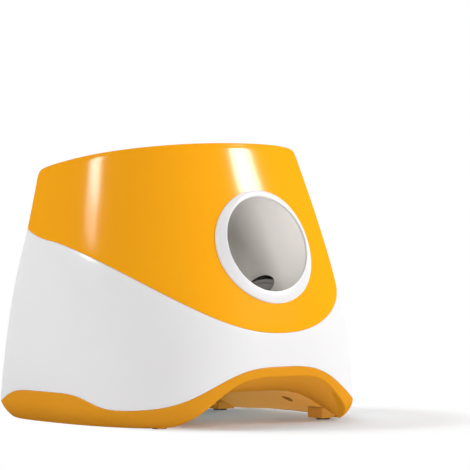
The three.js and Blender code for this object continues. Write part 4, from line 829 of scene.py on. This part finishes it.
def collar():
    """A ring whose outer edge follows the skin and whose inner edge is flat. Its face runs straight between
    the two, crowned by half a sine wave, and both its edges are rounded."""
    t = np.linspace(0, TAU, 240, endpoint=False)
    outer_r, crown = MOUTH_R + COLLAR_WIDTH, 0.25

    def across_mouth(radius, drop=0.0):
        """A circle square to the launch tube, round a point that lies the drop below its axis."""
        rise = radius * np.sin(t) - drop
        return MOUTH + (radius * np.cos(t))[:, None] * X_AXIS + rise[:, None] * UPWARD

    def outer(cut_in, proud):
        """A ring of the outer edge, moved in and standing proud of the skin."""
        return onto_skin(across_mouth(outer_r - cut_in, MOUTH_LIFT), BACK, FRONT) - proud * BACK

    def inner(wider, depth):
        """A flat ring of the inner edge at a depth in the tube."""
        return across_mouth(MOUTH_R + wider) + depth * BACK

    side = [outer(0, -0.35), outer(0, 0.75)]
    shoulder = [outer(*at) for at in ((0.06, 1.15), (0.28, 1.45), (0.7, 1.62), (1.3, 1.72))]
    lip = [inner(*at) for at in ((0.6, -0.6), (0.3, -0.52), (0.09, -0.3), (0.0, 0.1))]
    face = [
        between(shoulder[-1], lip[0], share) - crown * math.sin(PI * share) * BACK
        for share in np.linspace(0, 1, 10)[1:-1]
    ]
    flange = [inner(0, depth) for depth in (FLANGE_START, FLANGE_END)]
    flange += [inner(COLLAR_FLANGE, depth) for depth in (FLANGE_END, FLANGE_START)]
    return stack([*side, *shoulder, *face, *lip, *flange])


piece("collar_ring", [collar()], "white_collar", replaces=["launch_collar"], sharp=50)

# The wheels, which reach into the tube through slots: distances from its axis and from the mouth, and the
# angle of their axles
WHEEL_REACH, WHEEL_DEPTH, VEE = 64.0, 61.0, math.radians(36)
REACH_IN_SLOT = WHEEL_REACH - TUBE_R
# Half length and half height of a slot
SLOT_L, SLOT_H = 24.4, 17.3
# The bore's smooth lining lies just inside the faceted tube
LINING_R, LINING_START = 36.56, 1.0


def wheel_frame(side):
    """Origin at the wheel's middle, x away from the tube, y along it and z along the axle."""
    out = side * math.cos(VEE) * X_AXIS - math.sin(VEE) * UPWARD
    axle = side * math.sin(VEE) * X_AXIS + math.cos(VEE) * UPWARD
    return MOUTH + WHEEL_DEPTH * BACK + WHEEL_REACH * out, out, np.cross(axle, out), axle


WHEELS = {"left": wheel_frame(-1), "right": wheel_frame(1)}


def slot_reach_squared(height_share, half_length):
    """Square of a slot's reach from the wheel's axle: what its half length adds falls by the square of the
    height."""
    return REACH_IN_SLOT**2 + half_length**2 * (1 - height_share**2)


def slot_keep(p):
    """Distance outside the nearer of the two slots that the wheels need in the tube's wall."""
    gaps = []
    for middle, out, along, axle in WHEELS.values():
        q = p - middle
        reach = slot_reach_squared(q @ axle / SLOT_H, SLOT_L)
        gaps.append(((q @ out) ** 2 + (q @ along) ** 2 - reach) / (2 * SLOT_L))
    return np.minimum(*gaps)


RISE = (TURN - VALLEY) / np.linalg.norm(TURN - VALLEY)
VALLEY_BEND, TURN_BEND = math.acos(BACK @ RISE), math.acos(RISE @ Z_AXIS)


def upper_side(direction):
    """The direction square to a path and to X, on the path's upper side."""
    return np.array([0, -direction[2], direction[1]])


def round_path(t, direction):
    """Unit vectors round a path: the cosine along X, and the sine square to X and to the path."""
    return np.cos(t)[..., None] * X_AXIS + np.sin(t)[..., None] * upper_side(direction)


def tube_lining():
    """The bore: three straight runs, each shortened on the inner side of a bend by the sine round the path,
    and a slice of a ball on the outer side of each bend."""
    valley_cut = LINING_R * math.tan(VALLEY_BEND / 2)
    turn_cut = LINING_R * math.tan(TURN_BEND / 2)
    rise_length = np.linalg.norm(TURN - VALLEY)
    top_length = TOP_Z - TURN[2]

    def run(start, direction, length, first, first_cut, last_cut):
        """A straight run from the distance first to its length, less the cuts inside its two bends."""

        def point_at(t, v):
            """t goes round the run and v along it."""
            inner = np.maximum(np.sin(t), 0)
            low = first + first_cut * inner
            high = np.maximum(length - last_cut * inner, low)
            along = between(low, high, v)[..., None] * direction
            return start + LINING_R * round_path(t, direction) + along

        return point_at

    def ball_slice(corner, before, after):
        """The part of a ball between two directions, on the lower half round the path."""

        def point_at(t, v):
            """t goes round the path, whose direction turns from the one to the other with v."""
            angle = v * math.acos(before @ after)
            square = np.cos(angle)[..., None] * upper_side(before) - np.sin(angle)[..., None] * before
            return corner + LINING_R * (np.cos(t)[..., None] * X_AXIS + np.sin(t)[..., None] * square)

        return grid(point_at, np.linspace(PI, TAU, 73), np.linspace(0, 1, 11), flip=True)

    around = np.linspace(0, TAU, 240, endpoint=False)
    barrel = run(MOUTH, BACK, VALLEY_DEPTH, LINING_START, 0, valley_cut)
    rise = run(VALLEY, RISE, rise_length, 0, valley_cut, turn_cut)
    top = run(TURN, Z_AXIS, top_length, 0, turn_cut, 0)
    return [
        grid(barrel, around, np.linspace(0, 1, 90), True, slot_keep, flip=True),
        grid(rise, around, np.linspace(0, 1, 12), True, flip=True),
        grid(top, around, np.linspace(0, 1, 6), True, flip=True),
        ball_slice(VALLEY, BACK, RISE),
        ball_slice(TURN, RISE, Z_AXIS),
    ]


def slot_rim(side):
    """The wall seen in a slot: its outline on cylinders from the bore outwards, with a small round edge.
    The outline's greatest height on a cylinder, where its two sides meet, is found by halving."""
    s = np.linspace(0, TAU, 160, endpoint=False)
    outer_r, margin_out = 39.3, 0.24
    edge = ((0.0, 0.0), (0.06, 0.1), (0.2, 0.2), (0.4, margin_out), (outer_r - LINING_R, margin_out))
    rings = []
    for outwards, margin in edge:
        radius, half_length, half_height = LINING_R + outwards, SLOT_L - margin, SLOT_H - margin
        low, high = 0.0, half_height * 1.3
        for _ in range(40):
            middle = (low + high) / 2
            wall = WHEEL_REACH - math.sqrt(radius**2 - middle**2)
            if slot_reach_squared(middle / half_height, half_length) > wall**2:
                low = middle
            else:
                high = middle
        h = low * np.sin(s)
        x = np.sqrt(radius**2 - h**2) - WHEEL_REACH
        y_squared = slot_reach_squared(h / half_height, half_length) - x**2
        y = np.sign(np.cos(s)) * np.sqrt(np.maximum(y_squared, 0))
        rings.append(carried(np.stack([x, y, h], 1), WHEELS[side]))
    return stack(rings)


lining = piece("tube_lining", [*tube_lining(), slot_rim("left"), slot_rim("right")], "white_inner")

# Each wheel: a grooved tyre on a hub, and its motor's can below
WHEEL_R, HUB_R, TYRE_HALF, HUB_HALF = 34.0, 24.0, 9.0, 8.0
GROOVE, BORE_R, BOSS_R, BOSS_HALF, RIM_IN_R = 0.7, 1.8, 6.0, 2.0, 20.0


def mirrored(half):
    """A profile with its mirror image in the wheel's middle plane."""
    return half + [(r, -z) for r, z in reversed(half)]


def tyre_profile():
    """The tyre: bevelled shoulders and two grooves in its tread."""
    inside, shoulder = HUB_R + 0.3, WHEEL_R - 2.5
    floor_r = WHEEL_R - GROOVE
    half = [
        (inside, 0), (inside, -TYRE_HALF), (shoulder, -TYRE_HALF), (WHEEL_R, -6),
        (WHEEL_R, -3.6), (floor_r, -3.3), (floor_r, -2.7), (WHEEL_R, -2.4),
    ]
    return rounded(mirrored(half), 0.9)


def hub_profile():
    """The hub: a boss, a thin web and a rim."""
    half = [
        (BORE_R, 0), (BORE_R, -HUB_HALF), (BOSS_R, -HUB_HALF), (BOSS_R, -BOSS_HALF),
        (RIM_IN_R, -BOSS_HALF), (RIM_IN_R, -HUB_HALF), (HUB_R, -HUB_HALF),
    ]
    return rounded(mirrored(half), 0.4, 3)


def motor_profile():
    """The motor's can, with a bearing seat at each end and a hole for the shaft."""
    can_r, seat_r, hole_foot = 14, 5, -23
    foot, can_foot, can_top, top = -48, -46, -14.3, -11.8
    return rounded([
        (0, foot), (seat_r, foot), (seat_r, can_foot), (can_r, can_foot),
        (can_r, can_top), (seat_r, can_top), (seat_r, top), (BORE_R, top), (BORE_R, hole_foot),
    ], 0.6)


for side, to in WHEELS.items():
    body = f"{side}_wheel"
    piece(f"tyre_{side}", [lathe(tyre_profile(), 128, to)], "rubber_grey", body, [f"wheel_tyre_{side}"])
    piece(f"hub_{side}", [lathe(hub_profile(), 128, to)], "charcoal", body, [f"wheel_hub_{side}"])
    can = lathe(motor_profile(), 96, to)
    piece(f"motor_{side}", [can], "motor_steel", replaces=[f"wheel_motor_{side}"])

# The control panel: heights in its frame, and the places and sizes of its buttons and its lens
PANEL_FACE, PANEL_BACK, PEG_FOOT = -2.6, -4.8, -15.5
KEY_X, KEY_HOLE_R, PEG_X, PEG_R = 20.0, 8.3, 34.0, 3
LENS_AT, LENS_HOLE = np.array([0, 14.0]), (16.6, 4.6, 1.3)
# Rounding of each edge of the plate, as distance from the edge and depth below the face
PLATE_EDGE = ((0.35, 0.0), (0.14, 0.07), (0.03, 0.2), (0.0, 0.4))


def panel_plate():
    """The plate: a flat face cut at its outline, its key holes and its lens hole, all with rounded edges
    and straight walls, and two pegs behind."""
    edge = PLATE_EDGE[0][0]

    def point_at(x, y):
        """The face's plane in the panel's frame."""
        return PANEL_O + x[..., None] * PANEL_X + y[..., None] * PANEL_Y + PANEL_FACE * PANEL_Z

    def keep(p):
        """Distance inside the face: inside the plate's edge and outside those of the holes."""
        q = p - PANEL_O
        x, y = q @ PANEL_X, q @ PANEL_Y
        keys = np.hypot(np.abs(x) - KEY_X, y) - KEY_HOLE_R
        holes = np.minimum(keys, rect_distance(x, y - LENS_AT[1], LENS_HOLE))
        return np.minimum(holes - edge, -rect_distance(x, y, PLATE, -edge))

    def walls(outline_at):
        """The rounded edge and the wall below it, from the outline at each distance from the edge."""
        rings = [panel_ring(outline_at(away), PANEL_FACE - depth) for away, depth in PLATE_EDGE]
        return [*rings, panel_ring(outline_at(0), PANEL_BACK)]

    half_width, half_height = PLATE[0] / 2, PLATE[1] / 2
    across, upward = np.linspace(-half_width, half_width, 281), np.linspace(-half_height, half_height, 149)
    hollow_back = (60, 38, 4)
    back = panel_ring(rounded_rect(hollow_back, 0, 12), PANEL_BACK)
    surfaces = [
        grid(point_at, across, upward, keep=keep),
        stack([*walls(lambda away: rounded_rect(PLATE, -away, 12)), back]),
    ]
    for x in (KEY_X, -KEY_X):
        surfaces.append(stack(walls(lambda away: circle((x, 0), KEY_HOLE_R + away))))
    surfaces.append(stack(walls(lambda away: rounded_rect(LENS_HOLE, away, 6) + LENS_AT)))
    for x in (-PEG_X, PEG_X):
        peg = circle((x, 0), PEG_R, 24)
        surfaces.append(stack([panel_ring(peg, PANEL_BACK), panel_ring(peg, PEG_FOOT)], (False, True)))
    return surfaces


def key_cap(x):
    """A button, turned: a stem, a flange, and a cap with a round edge and a top that is dished by the
    square of the radius."""
    stem_foot, stem_r = -10.9, 2.6
    flange_foot, flange_top, flange_r = -6.5, -5.1, 9.4
    cap_r, edge, face_r, dish_r, dish, proud = 8, 1.2, 6.6, 6.4, 0.35, 2.0
    top = PANEL_FACE + proud
    turns = np.linspace(0.15, PI / 2, 8)
    profile = [
        (0, stem_foot), (stem_r, stem_foot), (stem_r, flange_foot), (flange_r, flange_foot),
        (flange_r, flange_top), (cap_r, flange_top), (cap_r, top - edge),
        *[(cap_r - edge * (1 - math.cos(t)), top - edge * (1 - math.sin(t))) for t in turns],
        (face_r, top),
        *[(r, top - dish * (1 - (r / dish_r) ** 2)) for r in np.linspace(dish_r, 0, 12)],
    ]
    return lathe(profile, 96, (PANEL_O + x * PANEL_X, PANEL_X, PANEL_Y, PANEL_Z))


def lens_window():
    """The clear lens: a flange behind the plate and a window with a rounded edge in its hole."""
    flange, window = (18, 6, 1), (16, 4, 1)
    flange_foot, flange_top, top = -6.5, -5.1, PANEL_FACE + 0.4
    rings = [(rounded_rect(flange, 0, 6), height) for height in (flange_foot, flange_top)]
    rings.append((rounded_rect(window, 0, 6), flange_top))
    for away, depth in ((0, 0.5), (0.05, 0.25), (0.2, 0.08), (0.45, 0.0), (1.0, 0.03)):
        smaller = (window[0] - 2 * away, window[1] - 2 * away, window[2] - 0.5 * away)
        rings.append((rounded_rect(smaller, 0, 6), top - depth))
    return stack([panel_ring(outline + LENS_AT, height) for outline, height in rings], (True, True))


def inlet_profile():
    """The power inlet: a flanged socket with a pin in its well."""
    socket_r, flange_r, well_r, pin_r = 5.2, 7.5, 3, 1
    back, flange_back, flange_front, face, well, pin_end = -17, -9, -6.4, -0.6, -10, -2.5
    return rounded([
        (0, back), (socket_r, back), (socket_r, flange_back), (flange_r, flange_back),
        (flange_r, flange_front), (socket_r, flange_front), (socket_r, face), (well_r, face),
        (well_r, well), (pin_r, well), (pin_r, pin_end), (0, pin_end),
    ], 0.35, 3)


piece("panel_plate", panel_plate(), "panel_grey", replaces=["control_panel"])
piece("power_cap", [key_cap(KEY_X)], "button_orange", "power_key", ["power_button"])
piece("distance_cap", [key_cap(-KEY_X)], "button_white", "distance_key", ["distance_button"])
piece("lens_window", [lens_window()], "clear_lens", replaces=["indicator_lens"], sharp=50)
inlet = lathe(inlet_profile(), 72, (JACK - SKIN_INSET * Y_AXIS, -X_AXIS, Z_AXIS, Y_AXIS))
piece("inlet_socket", [inlet], "charcoal", replaces=["power_inlet"])


# What is seen from below: foot pads, screws and the recesses that the pan's screws are sunk in
def box_of(node):
    """A CAD node's lowest and highest corner, in millimetres."""
    low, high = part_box(node)
    return np.array(low) / MM, np.array(high) / MM


def upright_at(node):
    """An upright frame with its origin under the middle of a CAD node."""
    low, high = box_of(node)
    return np.array([*(low + high)[:2] / 2, low[2]]), X_AXIS, Y_AXIS, Z_AXIS


def foot_pad(node):
    """A rubber foot: a disc with a shallow dish below and rounded edges."""
    low, high = box_of(node)
    radius, height, dish = (high[0] - low[0]) / 2, high[2] - low[2], 0.25
    dish_r, ring_r = 0.62 * radius, 0.68 * radius
    profile = [(0, dish), (dish_r, dish), (ring_r, 0), (radius, 0), (radius, height), (0, height)]
    return lathe(rounded(profile, 0.5), 72, upright_at(node))


def recess(x, y):
    """Walls of a sunk screw's recess, straight up from just above the tunnel's surface to the seat, and the
    seat's rim."""
    radius, seat_level, seat_r, foot_gap = 4.3, 20.92, 3.3, 0.15
    ring = circle((x, y), radius, 48)
    foot = bell(ring[:, :1], *TUNNEL_ARCH) + foot_gap
    walls = [np.hstack([ring, between(foot, seat_level, share)]) for share in np.linspace(0, 1, 5)]
    seat = circle((x, y), seat_r, 48)
    return stack([*walls, np.hstack([seat, np.full((len(seat), 1), seat_level)])])


def screw(node, head_r, cross, cross_depth, edge_round, shank_r, head_height):
    """A screw that points up. Its head's face is flat and rises at the edge by the square of the radius past
    the flat part. Two crossed bars are pressed into it, with sloping flanks, and the rest is turned."""
    low, high = box_of(node)
    to, length = upright_at(node), high[2] - low[2]
    bar_length, bar_width, fine_r, flat_r = 1.15 * cross, 0.28 * cross, 1.5 * cross, 0.72 * head_r
    flank, flank_start = 0.22 * cross, 0.3
    radii = np.concatenate([np.linspace(0, fine_r, 22), np.linspace(fine_r, head_r, 12)[1:]])

    def face(t, r):
        """The head's face over the turn t and the radius r."""
        rise = edge_round * np.clip((r - flat_r) / (head_r - flat_r), 0, 1) ** 2
        x, y = np.abs(r * np.cos(t)), np.abs(r * np.sin(t))
        bars = np.maximum(x - bar_length, y - bar_width), np.maximum(y - bar_length, x - bar_width)
        sunk = cross_depth * np.clip(flank_start - np.minimum(*bars) / flank, 0, 1)
        return to[0] + np.stack([r * np.cos(t), r * np.sin(t), rise + sunk], -1)

    around = np.linspace(0, TAU, 96, endpoint=False)
    profile = [
        (head_r, edge_round), (head_r, head_height), (shank_r, head_height),
        (shank_r, length - shank_r), (0, length),
    ]
    return [grid(face, around, radii, True), lathe(profile, 48, to)]


# Places of the recesses, which are alike on both sides
RECESS_X, RECESS_FRONT_Y, RECESS_REAR_Y = 60.0, -55.5, 30.0
# Head radius, size and depth of the cross, rounding of the head's edge, shank radius and head height
HOUSING_SCREW = (3.5, 1.3, 1.1, 0.5, 1.6, 1.5)
COVER_SCREW = (2.1, 0.8, 0.7, 0.35, 1.1, 1.3)
nodes = sorted(frame["nodes"])
for node in nodes:
    if node.startswith("foot_pad"):
        name = node.replace("foot_pad", "pad")
        piece(name, [foot_pad(node)], "rubber_black", replaces=[node], sharp=50)
recesses = [recess(x, y) for x in (-RECESS_X, RECESS_X) for y in (RECESS_FRONT_Y, RECESS_REAR_Y)]
piece("pan_recesses", recesses, "orange_matte", sharp=50)
for node in nodes:
    if node.startswith(("pan_screw", "housing_screw", "tube_screw")):
        piece(node.replace("screw", "bolt"), screw(node, *HOUSING_SCREW), "steel", replaces=[node])
cover_screw = "battery_cover_screw"
piece("battery_cover_bolt", screw(cover_screw, *COVER_SCREW), "steel", replaces=[cover_screw])

# The CAD nodes, of which the ones that no piece replaces stay in view
CAD_SHARP = 34
for part in frame["record"]["subparts"]:
    mesh = frame["nodes"][part["node"]].data
    mesh.materials.clear()
    mesh.materials.append(LOOKS[part["material_slot"]])
    mesh.shade_smooth()
    mesh.set_sharp_from_angle(angle=math.radians(CAD_SHARP))

# Light, floor and backdrop
WHITE = (1, 1, 1, 1)
AMBIENT = 0.63


def add_world():
    """An even white sky, weaker as a light than as the background that plain rays see."""
    world = bpy.data.worlds.new("studio")
    scene.world = world
    sky = Nodes(world)
    ambient, seen = [
        sky.add("Background", None, {"Color": WHITE, "Strength": strength}) for strength in (AMBIENT, 1.0)
    ]
    sky.add("OutputWorld", None, {"Surface": sky.mixed(sky.plain_rays(), ambient, seen).outputs[0]})


def add_floor():
    """A white floor that keeps the shadow near the body and turns plain white to plain rays further out."""
    half, drop = 6.0, 0.0002
    shadow_middle, shadow_near, shadow_far = (0.06, -0.06, 0), 0.105, 0.17
    mesh = bpy.data.meshes.new("floor")
    corners = [(-half, -half, 0), (half, -half, 0), (half, half, 0), (-half, half, 0)]
    mesh.from_pydata(corners, [], [(0, 1, 2, 3)])
    floor = bpy.data.objects.new("floor", mesh)
    scene.collection.objects.link(floor)
    floor.location.z = -drop
    f = Finish("floor_white")
    f.set("Roughness", 0.9)
    f.set("Specular IOR Level", 0.0)
    f.colour("#fdfdfd", "#fcfcfc", f.noise(3.0).step(0.4, 0.6))
    plain = f.add("Emission", None, {"Color": WHITE, "Strength": 1.0})
    sockets = {0: f.place, 1: shadow_middle}
    away = f.signal("VectorMath", {"operation": "DISTANCE"}, sockets, "Value")
    share = away.step(shadow_near, shadow_far) * f.plain_rays()
    f.feed(f.surface, f.mixed(share, f.shader, plain).outputs[0])
    mesh.materials.append(f.material)
    return floor


def soft_box(name, place, aim, size, watts, diffuse=True, glossy=True, only=(), blocked_by=()):
    """An area lamp aimed at a point. With only, it lights just those pieces, and with blocked_by, just
    those cast its shadows."""
    data = bpy.data.lights.new(name, "AREA")
    data.shape = "RECTANGLE"
    data.size, data.size_y = size
    data.energy = watts
    lamp = bpy.data.objects.new(name, data)
    scene.collection.objects.link(lamp)
    place, aim = Vector(place), Vector(aim)
    turn = (aim - place).to_track_quat("-Z", "Y").to_matrix().to_4x4()
    lamp.matrix_world = Matrix.Translation(place) @ turn
    lamp.visible_diffuse, lamp.visible_glossy = diffuse, glossy
    for link, objects in (("receiver", only), ("blocker", blocked_by)):
        if objects:
            group = bpy.data.collections.new(f"{name}_{link}")
            for obj in objects:
                group.objects.link(obj)
            setattr(lamp.light_linking, f"{link}_collection", group)
    return data


add_world()
floor = add_floor()
scene.view_settings.view_transform = "Standard"
pan = [frame["nodes"][node] for node in ("bottom_pan", "battery_cover")]

# Light on everything, without a highlight of its own
soft_box("key_box", (1.1, -1.5, 0.9), (0, 0, 0.1), (0.8, 0.8), 17.0, glossy=False)
soft_box("fill_box", (-1.3, 0.75, 1.25), (0, 0, 0.1), (0.55, 0.55), 7.5, glossy=False)
# Highlights alone: two overlapping strips on the left of the front, and a broad one above the mouth
soft_box("strip_box", (-0.479, 0.22, 0.42), (-0.098, -0.024, 0.19), (0.095, 0.12), 1.6, diffuse=False)
soft_box("long_strip_box", (-0.479, 0.22, 0.395), (-0.098, -0.024, 0.18), (0.095, 0.17), 1.35, diffuse=False)
soft_box("front_box", (0.449, -0.559, 0.66), (-0.01, -0.085, 0.19), (0.19, 0.2), 13.5, diffuse=False)
# Light on one group of pieces each
UNDER_ARCH, IN_BORE = (0.03, -0.05, 0.015), (0.02, -0.08, 0.14)
soft_box("glow_box", (0.55, -1.7, 0.7), (0, 0, 0.15), (0.7, 0.7), 4.0, glossy=False, only=[upper_skin])
soft_box("barrel_box", (-1.1, -0.95, 0.07), IN_BORE, (0.5, 0.12), 12.5, glossy=False, only=[lining])
soft_box("arch_box", (-0.55, -1.0, 0.07), UNDER_ARCH, (0.5, 0.1), 5.0, glossy=False, only=[cove_skin])
soft_box(
    "tunnel_box", (-0.16, -0.32, -0.55), UNDER_ARCH, (0.3, 0.3), 2.3, glossy=False, only=pan, blocked_by=pan
)
# The orange under the body doesn't tint the floor, and a bluish lamp evens out what is left of the tint
for obj in [cove_skin, *pan, base_skin]:
    obj.visible_diffuse = False
SPILL_X, SPILL_LEVEL = 0.045, 0.028
spill = soft_box(
    "spill_box", (SPILL_X, 0, SPILL_LEVEL), (SPILL_X, 0, 0), (0.14, 0.14), 0.017,
    glossy=False, only=[floor], blocked_by=[lining],
)
spill.color = (0.42, 0.80, 1.0)
